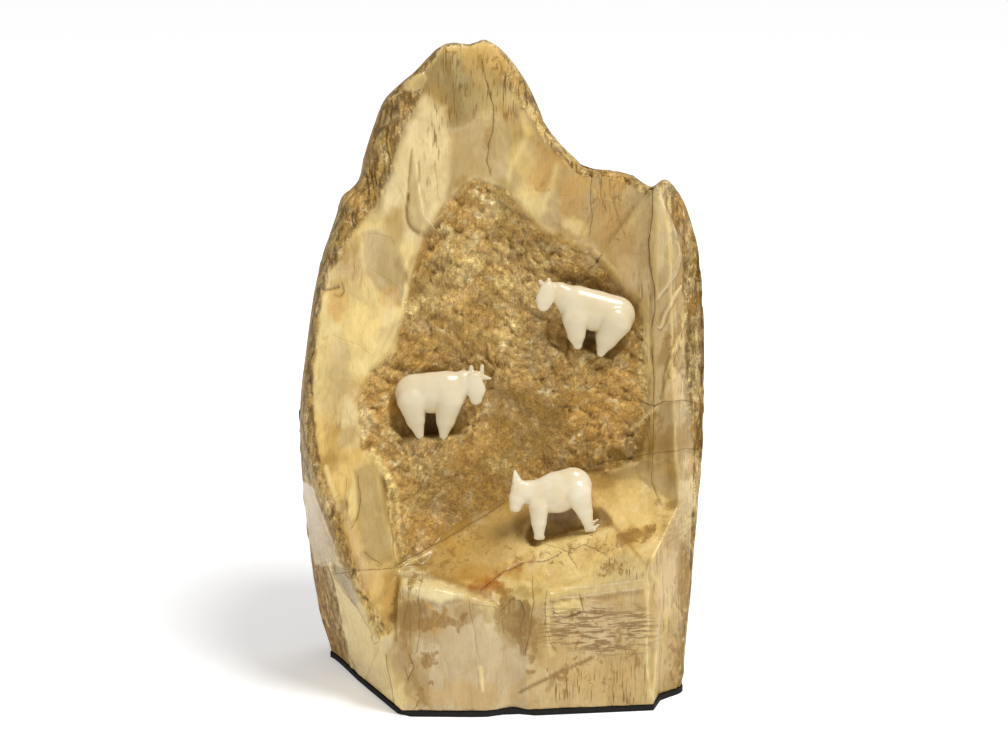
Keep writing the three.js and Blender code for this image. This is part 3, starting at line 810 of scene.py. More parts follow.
@dataclass(frozen=True)
class Region:
    """An area with a crisp border, such as a facet or a chip.

    Attributes:
        ring: Its corners, in picture units.
        strength: Share of the colour.
        raised: How far it stands out, in mm, or in when negative.
        soft: Half width of its border, in picture units.
        wander: How far the border strays, in picture units.
    """

    ring: tuple[Point2, ...]
    strength: float
    raised: float = 0.0
    soft: float = 1.5
    wander: float = 1.0

    def cover(self, px: Array, py: Array) -> Array:
        """Work out how much of the region is at each place.

        Args:
            px: Places across in picture units.
            py: Places down in picture units.

        Returns:
            Shares from 0 to 1.
        """
        qx, qy = strayed(px, py, self.wander, 7.0, 1, int(self.ring[0][0] + 3 * self.ring[0][1]))
        corners = np.array(self.ring + self.ring[:1], float)
        distance, _, _ = distance_to(qx, qy, corners)
        signed = np.where(inside_of(qx, qy, corners[:-1]), distance, -distance)
        return smooth_step(-self.soft, self.soft, signed)


@dataclass(frozen=True)
class Crack:
    """A fine line: a dark crack, the edge of a layer, or a painted highlight along an edge.

    Attributes:
        line: Its corners, in picture units.
        strength: How dark or pale it is, from 0 to 1.
        wander: How far it strays from its line, in picture units.
    """

    line: tuple[Point2, ...]
    strength: float = 0.8
    wander: float = 1.2

    def measure(self, px: Array, py: Array) -> tuple[Array, Array]:
        """Measure how far places are from the line.

        Args:
            px: Places across in picture units.
            py: Places down in picture units.

        Returns:
            The distance in mm, negative on one side, and the same without a sign.
        """
        qx, qy = strayed(px, py, self.wander, 12.0, 2, int(self.line[0][0] + 11 * self.line[0][1]))
        distance, _, side = distance_to(qx, qy, np.array(self.line, float))
        distance = distance * PICTURE_MM
        return distance * side, distance


@dataclass(frozen=True)
class Stroke:
    """A line on the surface: a crease, a ridge, a lip or a streak.

    Attributes:
        line: Its corners, in picture units.
        width: Its full width, in picture units.
        strength: Share of the colour along its middle.
        raised: How far it stands out, in mm, or in when negative.
        wander: How far it strays from its line, in picture units.
        soft: 1 fades from the middle, near 0 keeps full strength almost to the edge.
    """

    line: tuple[Point2, ...]
    width: float
    strength: float
    raised: float = 0.0
    wander: float = 0.8
    soft: float = 0.6

    def cover(self, px: Array, py: Array) -> Array:
        """Work out how much of the stroke is at each place.

        Args:
            px: Places across in picture units.
            py: Places down in picture units.

        Returns:
            Shares from 0 to 1.
        """
        qx, qy = strayed(px, py, self.wander, 9.0, 1, int(self.line[0][0] + 5 * self.line[0][1]))
        line = curve_through(np.array(self.line, float), 4.0) if len(self.line) > 2 else np.array(self.line)
        distance, _, _ = distance_to(qx, qy, line)
        half = self.width / 2
        return smooth_step(half, half * (1 - self.soft), distance)


Mark = Patch | Region | Stroke


def covered(marks: Sequence[Mark], px: Array, py: Array, start: float | Array = 0.0) -> Array:
    """Return how strongly some marks cover each place in all, added to a start."""
    return sum((mark.cover(px, py) * mark.strength for mark in marks), start)


# Outlines that more than one of the lists below takes up, in the units of the 1008 by 756 picture.

# The pale chip on the left of the peak.
PEAK_CHIP = ((402, 84), (412, 77), (424, 72), (428, 78), (424, 88), (414, 92), (404, 91))

# The grey facet low on the left side.
SIDE_FACET = ((300, 480), (312, 486), (318, 500), (328, 528), (340, 560), (334, 566), (316, 565),
    (306, 530))

# The strip of bark down the lower left.
BARK_STRIP = ((316, 476), (326, 480), (334, 500), (344, 528), (354, 562), (366, 592), (382, 622),
    (386, 636), (374, 626), (360, 600), (344, 574), (330, 538), (320, 508))

# The standing lip below the peak.
PEAK_LIP = ((417, 165), (420, 195), (424, 216), (434, 228))

# The upper ribbon of the splinter.
TOP_RIBBON = ((681, 286), (672, 300), (664, 316), (660, 328), (654, 327))

# The lower ribbon of the splinter.
LOW_RIBBON = ((655, 408), (647, 415), (638, 425))

# The short ridge at the foot of the block.
BLOCK_RIDGE = ((480, 668), (483, 690))

# Marks are listed as they are laid on, in the units of the 1008 by 756 picture.
MARKS: tuple[tuple[Tone, Mark], ...] = (
    # The peak: pale chip, stained spots, a standing lip with painted shade down its left side and painted
    # highlights along its right edge.
    (Tone.GREY_IVORY, Region(PEAK_CHIP, 0.85, 0.3)),
    (Tone.OLIVE, Patch((455, 62), (30, 16), 0.35, 10)),
    (Tone.SAND, Patch((485, 66), (26, 20), 0.5)),
    (Tone.LEATHER, Patch((488, 136), (5, 11), 0.5)),
    (Tone.OLIVE, Patch((515, 138), (8, 11), 0.7)),
    # Painted highlight: the pale patch where the polished peak left of the lip catches the light.
    (Tone.CREAM, Patch((430, 150), (22, 30), 0.35)),
    (Tone.WARM_CREAM, Patch((525, 175), (12, 40), 0.5, 15)),
    (Tone.BONE, Region(((424, 96), (446, 108), (450, 140), (446, 190), (432, 225), (412, 240), (392, 225),
         (382, 205), (392, 165), (402, 132)), 0.85, 0.0, 6.0, 3.0)),
    # Painted shade, in brown, down the groove on the lip's left side.
    (Tone.LEATHER, Stroke(((412, 150), (409, 175), (408, 200)), 4, 0.5, -0.2, 0.5, 1.0)),
    (Tone.DUST, Patch((404, 222), (9, 18), 0.6, 0, 0.3)),
    (Tone.BROWN, Stroke(((408, 195), (408, 222), (421, 234), (430, 236)), 6, 0.7, -0.35, 0.5, 0.9)),
    (Tone.GREY_IVORY, Region(((413, 150), (417, 180), (421, 212), (434, 225), (431, 235), (420, 234),
         (411, 222), (410, 185)), 0.7, 0.35, 2.0, 0.6)),
    # Painted highlight along the lip's right edge.
    (Tone.CREAM, Stroke(PEAK_LIP, 4, 0.5, 0.1, 0.8, 1.0)),
    (Tone.BROWN, Stroke(((419, 162), (419, 182)), 4.5, 0.6, 0.0, 0.8, 0.9)),
    (Tone.SAND, Patch((512, 66), (9, 22), 0.6, 10, 0.6)),
    # The upper right: warm tall stains between pale ridges.
    (Tone.HONEY, Patch((546, 176), (15, 26), 0.55, -20)),
    (Tone.HONEY, Patch((574, 190), (15, 26), 0.55, -12)),
    (Tone.HONEY, Patch((612, 195), (18, 45), 0.5, -6)),
    (Tone.CREAM, Stroke(((556, 166), (552, 185), (540, 212)), 12, 0.5, 0.05, 1.5, 1.0)),
    (Tone.CREAM, Stroke(((527, 130), (522, 148), (512, 165), (506, 190)), 12, 0.55, 0.05, 1.5, 1.0)),
    (Tone.YELLOW_CREAM, Patch((577, 226), (18, 10), 0.8, -15)),
    (Tone.CREAM, Patch((535, 205), (18, 14), 0.6, -30)),
    (Tone.PINK_CREAM, Patch((628, 276), (20, 28), 0.8, -30)),
    (Tone.GOLD, Stroke(((500, 105), (520, 130), (560, 158), (600, 170), (640, 186)),
         20, 0.35, 0.0, 2.0, 1.0)),
    (Tone.WARM_CREAM, Stroke(((505, 72), (522, 105), (530, 130)), 12, 0.5, 0.0, 2.0)),
    (Tone.WARM_CREAM, Stroke(((528, 110), (545, 136), (575, 158), (606, 166)), 14, 0.5, 0.0, 2.0, 1.0)),
    # The splinter on the right: a polished leaf, a lower leaf and folded ribbons.
    (Tone.LEATHER, Stroke(((676, 200), (680, 260), (674, 340), (672, 420), (672, 500)),
         24, 0.6, 0.0, 2.0, 0.8)),
    (Tone.BONE, Region(((652, 182), (657, 186), (664, 206), (676, 233), (681, 255), (677, 272), (667, 287),
         (658, 300), (654, 285), (650, 262), (650, 240), (652, 212)), 0.55, 0.6, 1.2)),
    (Tone.LEATHER, Patch((670, 266), (10, 26), 0.5, -15)),
    (Tone.DARK_BROWN, Patch((670, 190), (10, 10), 0.55, -20, 0.8)),
    (Tone.GOLD, Patch((680, 214), (9, 14), 0.8, -20, 0.6)),
    (Tone.DARK_BROWN, Patch((676, 232), (5, 12), 0.5, -15, 0.9)),
    (Tone.OLIVE, Patch((691, 262), (9, 24), 0.7, -8, 0.8)),
    (Tone.GREY_IVORY, Patch((692, 286), (9, 9), 0.8, 0, 0.6, 0.25)),
    (Tone.GREY_IVORY, Patch((699, 350), (7, 70), 0.85, 0, 0.9)),
    (Tone.CREAM, Patch((696, 380), (6, 30), 0.7, 5, 0.8)),
    (Tone.DARK_BROWN, Patch((688, 390), (4, 50), 0.45, 0, 0.9)),
    (Tone.DARK_BROWN, Patch((688, 300), (4, 40), 0.4, 0, 0.9)),
    (Tone.BONE, Patch((697, 495), (9, 40), 0.9, 0, 0.6)),
    (Tone.LEATHER, Patch((677, 444), (14, 44), 0.6, 0, 0.6)),
    (Tone.LEATHER, Patch((336, 380), (22, 78), 0.3, 4)),
    (Tone.LEATHER, Patch((360, 620), (20, 44), 0.25)),
    (Tone.LEATHER, Patch((630, 500), (34, 20), 0.3, -20)),
    (Tone.PINK_CREAM, Stroke(TOP_RIBBON, 6, 0.95, 0.3, 0.8, 1.0)),
    (Tone.DUST, Region(((681, 286), (684, 300), (676, 318), (664, 330), (656, 328), (664, 314),
         (672, 298)), 0.8, 0.25)),
    (Tone.LEATHER, Patch((668, 345), (9, 26), 0.6, -15)),
    (Tone.CREAM, Stroke(((684, 315), (680, 338), (673, 352), (670, 372), (664, 396)),
         10, 0.8, 0.2, 1.5, 1.0)),
    (Tone.BROWN, Stroke(((674, 345), (667, 362), (663, 385), (661, 398)), 3, 0.5, -0.2)),
    (Tone.PINK_CREAM, Region(((670, 372), (677, 366), (683, 385), (684, 400), (664, 402), (663, 392)),
         0.9, 0.4)),
    (Tone.CREAM, Stroke(LOW_RIBBON, 9, 0.85, 0.35, 0.8, 0.9)),
    (Tone.CREAM, Patch((645, 350), (8, 66), 0.6)),
    (Tone.GREY_IVORY, Region(((656, 408), (680, 404), (686, 412), (678, 426), (662, 424)),
         0.8, 0.1, 2.0, 2.0)),
    (Tone.LEATHER, Patch((668, 438), (16, 12), 0.5, 0, 0.6)),
    # Painted shade along the crease at the foot of the wall, in a stroke and a patch.
    (Tone.LEATHER, Stroke(((560, 475), (605, 458), (650, 447), (702, 441)), 14, 0.55, -0.1, 1.5, 0.9)),
    (Tone.LEATHER, Patch((625, 464), (44, 22), 0.6, 12, 0.5)),
    # The left: gold shoulder, grey round-edged facets, bright cream hollow, ripples by the core.
    (Tone.SAND, Stroke(((380, 146), (366, 166), (350, 184)), 16, 0.5, 0.0, 2.0, 1.0)),
    (Tone.HONEY, Patch((347, 198), (15, 18), 0.75, 25, 0.6, 0.4)),
    (Tone.GREY_IVORY, Region(((362, 232), (378, 230), (393, 240), (404, 262), (408, 290), (402, 312),
         (394, 300), (378, 290), (366, 272)), 0.95, -0.25, 2.0)),
    (Tone.OLIVE, Patch((389, 272), (14, 32), 0.4, 12, 0.2)),
    (Tone.DUST, Region(((357, 225), (361, 243), (357, 258), (345, 270), (336, 268), (338, 252),
         (346, 236)), 0.8, 0.3, 2.0)),
    (Tone.DUST, Patch((394, 230), (11, 25), 0.9, 5, 0.2)),
    (Tone.LEATHER, Patch((345, 262), (18, 24), 0.5, 0, 0.6)),
    (Tone.HONEY, Patch((336, 302), (13, 20), 0.6, 0, 0.6)),
    (Tone.DUST, Patch((362, 258), (11, 28), 0.5, 0, 0.5)),
    (Tone.PINK_CREAM, Patch((357, 272), (13, 20), 0.5, -20, 0.6)),
    (Tone.BROWN, Stroke(((342, 283), (345, 291), (341, 297), (335, 294)), 3, 0.6, -0.15)),
    (Tone.DARK_BROWN, Stroke(((318, 288), (328, 290), (340, 287)), 3, 0.7, -0.2)),
    (Tone.YELLOW_CREAM, Patch((362, 318), (30, 27), 0.8, 0, 0.3)),
    (Tone.HONEY, Patch((388, 300), (12, 14), 0.45)),
    (Tone.GREY_IVORY, Patch((340, 375), (16, 34), 0.5)),
    (Tone.CREAM, Stroke(((406, 285), (403, 310), (393, 335), (385, 352)), 8, 0.8, 0.3)),
    # Ripples by the core: raised strokes whose cream colour is painted highlight on their ridges.
    (Tone.CREAM, Stroke(((350, 402), (346, 420), (340, 445)), 9, 0.6, 0.25, 1.5, 1.0)),
    (Tone.CREAM, Stroke(((359, 402), (358, 420), (366, 440)), 9, 0.6, 0.3, 1.5, 1.0)),
    (Tone.WARM_CREAM, Stroke(((341, 400), (336, 420), (330, 440)), 8, 0.5, 0.15, 1.5, 1.0)),
    (Tone.BONE, Patch((356, 418), (22, 26), 0.8, 0, 0.5)),
    (Tone.LEATHER, Patch((334, 444), (18, 26), 0.45, 0, 0.6)),
    (Tone.LEATHER, Patch((325, 470), (12, 26), 0.5, -20)),
    # The lower left: grey slab whose two parallel pale edges are painted highlights, bark strips and cream
    # facets.
    (Tone.DULL_OLIVE, Region(((354, 470), (372, 462), (384, 480), (392, 520), (394, 560), (380, 566),
         (366, 560), (356, 520)), 0.45, -0.25, 3.0)),
    (Tone.GREY_IVORY, Region(((360, 474), (374, 470), (384, 500), (388, 545), (378, 560), (366, 548),
         (360, 515)), 0.6, 0.0, 3.0)),
    (Tone.CREAM, Stroke(((372, 452), (384, 470), (392, 488)), 13, 0.8, 0.5)),
    # Painted highlights along the slab's two parallel edges.
    (Tone.CREAM, Stroke(((389, 490), (391, 525), (396, 560)), 8, 0.7, 0.2, 1.0, 1.0)),
    (Tone.CREAM, Stroke(((397, 488), (399, 525), (402, 555)), 8, 0.65, 0.2, 1.0, 1.0)),
    (Tone.CREAM, Region(((352, 474), (356, 480), (358, 505), (356, 518), (352, 522), (347, 516),
         (348, 500), (351, 486)), 0.8, 0.4, 1.5, 0.5)),
    (Tone.CREAM, Stroke(((326, 468), (332, 488), (340, 510)), 9, 0.8, 0.4, 0.8, 0.9)),
    (Tone.PINK_CREAM, Stroke(((340, 508), (352, 530), (360, 558), (366, 578)), 15, 0.8, 0.3, 0.8, 0.9)),
    (Tone.GREY_IVORY, Region(SIDE_FACET, 0.85)),
    (Tone.DUST, Stroke(((305, 520), (312, 545), (318, 564)), 14, 0.6, 0.0, 0.8, 0.9)),
    (Tone.GOLD, Region(BARK_STRIP, 0.45, 0.25, 2.0, 3.0)),
    (Tone.BROWN, Patch((336, 522), (8, 24), 0.55, -22, 0.9, 0.2)),
    (Tone.BROWN, Patch((352, 574), (7, 22), 0.45, -28, 0.9, 0.2)),
    (Tone.CREAM, Patch((378, 624), (9, 8), 0.7, -30, 0.9, 0.3)),
    (Tone.DULL_OLIVE, Region(((331, 562), (343, 568), (352, 582), (362, 604), (372, 626), (360, 612),
         (345, 592), (336, 578)), 0.85, -0.4)),
    (Tone.CREAM, Region(((335, 580), (346, 594), (360, 612), (374, 634), (384, 656), (390, 698),
         (372, 690), (354, 672), (346, 640), (340, 604)), 0.75, 0.0, 2.0)),
    (Tone.CREAM, Stroke(((330, 560), (339, 603), (347, 640), (352, 668)), 5, 0.8, 0.3, 0.8, 0.9)),
    (Tone.GOLD, Stroke(((316, 570), (324, 600), (333, 632), (344, 660)), 15, 0.55, 0.0, 1.5, 0.4)),
    (Tone.BROWN, Stroke(((315, 566), (326, 562), (332, 560)), 3, 0.6, -0.1)),
    (Tone.YELLOW_CREAM, Patch((370, 596), (13, 26), 0.6, -25)),
    (Tone.HONEY, Patch((366, 588), (8, 18), 0.5, -25)),
    (Tone.DUST, Patch((408, 605), (13, 42), 0.7, -3)),
    (Tone.HONEY, Patch((388, 600), (8, 34), 0.55, -5)),
    (Tone.CREAM, Patch((400, 690), (14, 16), 0.6, 20)),
    # The ledge: gold bowl, white lip with a painted highlight, rust where water stood, painted shade along
    # the crease.
    # Painted shade along the crease where the ledge meets the wall.
    (Tone.LEATHER, Stroke(((398, 556), (440, 532), (505, 496)), 22, 0.4, 0.0, 3.0, 1.0)),
    (Tone.LEATHER, Patch((465, 555), (55, 30), 0.42, 20, 0.3)),
    (Tone.GOLD, Patch((478, 572), (34, 14), 0.6, 0, 0.5)),
    (Tone.WARM_CREAM, Patch((600, 515), (60, 28), 0.5, 15)),
    (Tone.YELLOW_CREAM, Patch((640, 500), (30, 25), 0.45, 20)),
    (Tone.YELLOW_CREAM, Patch((545, 535), (24, 12), 0.5, 25)),
    (Tone.GREY_IVORY, Patch((620, 575), (34, 9), 0.8, 12, 0.5)),
    (Tone.CREAM, Patch((420, 560), (22, 8), 0.5, 20, 0.5)),
    # The white lip: pale ivory with a painted highlight along its rounded top.
    (Tone.WHITE, Region(((398, 573), (412, 567), (432, 577), (452, 584), (470, 591), (464, 598),
         (440, 602), (410, 593)), 0.95, 0.6, 3.0, 1.5)),
    (Tone.CREAM, Stroke(((500, 580), (540, 585), (600, 566), (650, 545)), 7, 0.5, 0.0, 2.0)),
    (Tone.RUST, Patch((486, 587), (20, 9), 0.95, 10, 0.7)),
    (Tone.GOLD, Patch((474, 580), (12, 7), 0.6, 0, 0.6)),
    (Tone.RUST, Patch((512, 568), (24, 5), 0.5, 25, 0.8)),
    (Tone.GOLD, Patch((634, 534), (22, 8), 0.6, 12, 0.6)),
    (Tone.BROWN, Patch((668, 504), (13, 8), 0.6, 0, 0.9)),
    # Painted shade where the ledge meets the wall on the right.
    (Tone.BROWN, Patch((602, 466), (10, 5), 0.4, 10)),
    (Tone.LEATHER, Patch((560, 480), (36, 9), 0.5, 25, 0.5)),
    # The front of the block: milky facet with ragged stains.
    (Tone.HONEY, Patch((430, 617), (30, 11), 0.75, -10, 0.8)),
    (Tone.LEATHER, Patch((418, 628), (20, 16), 0.45, -10, 0.9)),
    (Tone.MILKY, Region(((440, 622), (452, 612), (470, 611), (482, 620), (494, 642), (508, 656),
         (524, 652), (536, 666), (516, 680), (488, 690), (432, 692), (426, 664), (440, 655), (436, 640)),
         0.8, 0.0, 3.0, 3.0)),
    (Tone.OLIVE, Region(((497, 604), (508, 594), (526, 586), (534, 596), (533, 620), (526, 640),
         (514, 648), (503, 636), (494, 628)), 0.7, -0.1, 2.5, 3.0)),
    (Tone.PINK_CREAM, Patch((480, 598), (20, 7), 0.8)),
    (Tone.LEATHER, Stroke(((396, 580), (400, 610), (408, 650), (417, 680), (430, 706)),
         9, 0.45, 0.0, 2.5)),
    (Tone.OLIVE, Stroke(((405, 590), (412, 620), (414, 655)), 8, 0.5, 0.0, 2.0)),
    (Tone.LEATHER, Patch((402, 660), (13, 24), 0.55, 0, 0.6)),
    (Tone.DUST, Patch((370, 674), (28, 22), 0.35, 30, 0.6)),
    (Tone.DUST, Patch((670, 610), (12, 70), 0.45, 0, 0.6)),
    (Tone.LEATHER, Patch((678, 684), (16, 14), 0.6, 0, 0.6)),
    (Tone.LEATHER, Patch((420, 674), (11, 26), 0.55, -8, 0.6)),
    (Tone.LEATHER, Patch((480, 612), (34, 10), 0.5, 0, 0.7)),
    (Tone.LEATHER, Patch((537, 622), (9, 34), 0.45, 0, 0.6)),
    (Tone.SAND, Patch((470, 695), (55, 14), 0.5)),
    (Tone.CREAM, Stroke(BLOCK_RIDGE, 6, 0.8, 0.25)),
    (Tone.DUST, Stroke(((542, 640), (538, 662), (520, 685)), 10, 0.6)),
    (Tone.CREAM, Stroke(((546, 588), (547, 620), (552, 655)), 7, 0.7, 0.15, 1.5, 1.0)),
    # The right half of the block: layers that broke in steps.
    (Tone.CREAM, Region(((553, 602), (580, 597), (583, 610), (556, 618)), 0.85, 0.35, 1.0, 0.6)),
    (Tone.DUST, Stroke(((548, 596), (590, 592), (642, 584)), 10, 0.8, 0.25, 0.8, 0.9)),
    (Tone.BROWN, Stroke(((545, 603), (590, 598), (642, 592)), 3, 0.5, -0.15)),
    (Tone.GREY_IVORY, Patch((620, 568), (30, 13), 0.75, 10, 0.5)),
    (Tone.MILKY, Patch((600, 628), (48, 26), 0.6)),
    (Tone.SAND, Patch((600, 680), (45, 24), 0.4)),
    (Tone.BROWN, Stroke(((520, 692), (552, 676), (592, 658)), 4.5, 0.75, -0.15)),
    (Tone.BROWN, Stroke(((548, 690), (556, 676), (566, 668)), 7, 0.45)),
    (Tone.CREAM, Stroke(((646, 575), (648, 610), (646, 655), (650, 697)), 9, 0.6, 0.0, 2.5, 1.0)),
    (Tone.PINK_CREAM, Region(((662, 552), (672, 545), (677, 565), (672, 600), (664, 618), (655, 600),
         (657, 570)), 0.85, 0.25, 2.0)),
    (Tone.LEATHER, Stroke(((683, 545), (684, 600), (681, 690)), 16, 0.6, 0.0, 2.0, 0.7)),
    (Tone.YELLOW_CREAM, Stroke(((668, 610), (660, 650), (655, 695)), 10, 0.5)),
    (Tone.BROWN, Patch((648, 566), (4, 7), 0.5)),
    # The core: grey top, pale lumps, a smooth golden brown area below its middle, a knob.
    (Tone.LEATHER, Patch((470, 196), (18, 16), 0.6, 0, 0.6)),
    (Tone.OLIVE, Patch((508, 200), (20, 22), 0.6, 0, 0.6)),
    (Tone.WHITE, Patch((484, 200), (9, 9), 0.6, 0, 0.9, 0.3)),
    (Tone.CREAM, Patch((468, 255), (26, 20), 0.4, -40, 0.8, 0.5)),
    (Tone.BROWN, Patch((430, 279), (22, 24), 0.55, 0, 0.6)),
    (Tone.CREAM, Patch((440, 300), (26, 14), 0.25, -35, 0.8, 0.4)),
    (Tone.NEAR_BLACK, Patch((437, 262), (14, 8), 0.4, -30, 0.8, -0.5)),
    (Tone.CREAM, Patch((507, 282), (14, 8), 0.6, 30, 0.7, 0.4)),
    (Tone.CREAM, Patch((505, 335), (30, 12), 0.4, -10, 0.8, 0.3)),
    (Tone.LEATHER, Patch((520, 240), (50, 14), 0.4, -20, 0.6, -0.4)),
    (Tone.SAND, Patch((578, 264), (48, 14), 0.8, -18, 0.5, 0.5)),
    # Painted shade along the top of the hollow over the upper goat.
    (Tone.BROWN, Patch((585, 284), (40, 7), 0.3, -18, 0.5, -0.3)),
    (Tone.LEATHER, Patch((524, 425), (46, 50), 0.8, 0, 0.45, -0.4)),
    (Tone.LEATHER, Patch((470, 500), (60, 45), 0.6, 30, 0.4)),
    (Tone.SAND, Patch((517, 375), (18, 16), 0.5, 0, 0.4, 1.3)),
    (Tone.HONEY, Patch((600, 410), (28, 26), 0.5, 0, 0.7, 0.5)),
    (Tone.HONEY, Patch((380, 400), (28, 30), 0.4, 0, 0.6, 0.3)),
    (Tone.LEATHER, Patch((610, 362), (30, 14), 0.45, 10, 0.4)),
    (Tone.LEATHER, Patch((490, 330), (22, 46), 0.4, 0, 0.6)),
    (Tone.LEATHER, Patch((445, 335), (50, 22), 0.4, 0, 0.6)),
    (Tone.LEATHER, Patch((424, 268), (20, 24), 0.5, 0, 0.6)),
    (Tone.HONEY, Patch((428, 540), (26, 26), 0.45, 0, 0.6)),
    # The hollows behind the legs: painted shade in brown where the goats and the hollows shade them, and a
    # pale raised stroke along the lower rim.
    (Tone.BROWN, Patch((433, 418), (44, 22), 0.4, 10, 0.15)),
    (Tone.DARK_BROWN, Patch((432, 422), (14, 20), 0.85, 0, 0.1)),
    (Tone.BROWN, Patch((558, 324), (38, 27), 0.5, -20, 0.15)),
    (Tone.BROWN, Patch((622, 352), (15, 14), 0.5, 0, 0.4)),
    (Tone.BROWN, Patch((475, 406), (12, 17), 0.6, 0, 0.2)),
    (Tone.DARK_BROWN, Patch((588, 336), (14, 14), 0.9, 0, 0.1)),
    (Tone.BROWN, Patch((526, 524), (20, 20), 0.8, 10, 0.2)),
    (Tone.BROWN, Patch((562, 512), (22, 14), 0.7, 15, 0.2)),
    (Tone.WARM_CREAM, Stroke(((408, 432), (430, 441), (455, 436), (478, 415)), 5, 0.6, 0.3)),
)

# Where weathered skin reaches further in than the outline's own band.
SKINS = (
    Region(((372, 160), (384, 100), (402, 86), (410, 92), (424, 90), (416, 108), (403, 128), (396, 150),
        (390, 175), (380, 196), (366, 212), (352, 226), (340, 240), (330, 262), (326, 286), (322, 300),
        (310, 300), (330, 215)), 1.0),
    Region(BARK_STRIP, 1.0, 0.0, 1.5, 2.0),
    Stroke(((316, 565), (324, 600), (334, 632), (348, 656)), 15, 0.8, 0, 1.0, 0.4),
    Region(((660, 180), (676, 186), (700, 250), (703, 440), (692, 440), (688, 340), (686, 300), (684, 285),
        (686, 262), (682, 240), (668, 208)), 1.0),
    Stroke(((590, 164), (625, 171), (646, 186)), 16, 1.0, 0, 1.5, 0.3),
    Stroke(((508, 75), (526, 105), (548, 140), (580, 164)), 12, 0.6, 0, 2.0, 0.5),
    Stroke(((686, 548), (686, 620), (682, 690)), 10, 0.5, 0, 2.0, 0.5),
)

# Where the skin is worn off.
BARE = (
    Region(PEAK_CHIP, 1.0),
    Region(SIDE_FACET, 1.0),
    Region(((335, 580), (346, 594), (360, 612), (374, 634), (388, 656), (394, 700), (372, 692), (356, 672),
        (347, 640), (341, 610)), 1.0),
)

# Where the core is smoother than elsewhere.
CALM = (
    Patch((524, 425), (48, 52), 0.7, 0, 0.3),
    Patch((470, 500), (66, 46), 0.6, 30, 0.3),
)

# Where brown stain has soaked in with a ragged border.
STAINS = (
    Patch((430, 618), (32, 15), 0.8, -8, 0.4),
    Patch((402, 625), (18, 40), 0.5, 0, 0.5),
    Patch((512, 616), (28, 32), 0.75, 10, 0.4),
    Patch((526, 636), (14, 36), 0.6, 5, 0.5),
    Region(((420, 652), (438, 650), (441, 668), (424, 671)), 0.7, 0.0, 5.0, 2.0),
    Patch((612, 568), (26, 10), 0.6, 10, 0.4),
    Patch((425, 695), (12, 22), 0.5, -15, 0.4),
    Patch((556, 690), (14, 22), 0.55, 0, 0.4),
    Patch((548, 180), (16, 26), 0.3, -20, 0.5),
    Patch((577, 192), (16, 26), 0.35, -12, 0.5),
    Patch((615, 200), (24, 46), 0.4, -6, 0.5),
    Patch((634, 534), (24, 10), 0.7, 12, 0.4),
    Patch((585, 545), (70, 16), 0.42, 18, 0.4),
    Patch((455, 552), (60, 26), 0.42, 15, 0.4),
    Patch((600, 640), (50, 60), 0.4, 0, 0.4),
    Patch((682, 620), (14, 80), 0.5, 0, 0.4),
    Patch((675, 350), (14, 60), 0.5, 0, 0.4),
    Patch((470, 70), (70, 26), 0.4, 0, 0.4),
    Patch((625, 440), (60, 20), 0.5, 15, 0.4),
)

# Where short dark streaks run up and down.
STREAKS = (
    Patch((600, 685), (48, 20), 0.9),
    Patch((560, 690), (25, 16), 0.6),
    Patch((405, 610), (14, 40), 0.7),
    Patch((612, 195), (26, 40), 0.5),
    Patch((510, 85), (18, 40), 0.9),
    Patch((345, 425), (26, 30), 0.4),
    Patch((355, 275), (14, 18), 0.6),
    Patch((640, 320), (12, 50), 0.5),
    Patch((620, 568), (28, 12), 1.0),
    Patch((624, 680), (26, 24), 0.8),
)

# Where dark streaks run across.
CROSS_STREAKS = (
    Patch((600, 631), (60, 29), 0.95, 0, 0.25),
    Patch((680, 530), (20, 30), 0.4),
)

# Painted highlights along polished edges and ridges.
PAINTED_HIGHLIGHTS = (
    Crack(((648, 566), (648, 600), (647, 640), (648, 668), (652, 696)), 0.40),
    Crack(((551, 589), (590, 586), (642, 580)), 0.35, 0.8),
    Crack(((549, 600), (590, 595), (642, 588)), 0.40, 0.8),
    Crack(((657, 186), (664, 206), (676, 233), (681, 255), (677, 272), (667, 287), (656, 300)), 0.50, 0.5),
    Crack(TOP_RIBBON, 0.45, 0.8),
    Crack(LOW_RIBBON, 0.50, 0.8),
    Crack(PEAK_LIP, 0.40, 0.5),
    Crack(((328, 560), (339, 603), (347, 640), (354, 668), (372, 690)), 0.45, 0.8),
    Crack(BLOCK_RIDGE, 0.45, 0.5),
    Crack(((500, 580), (508, 568), (520, 562)), 0.40, 0.8),
)

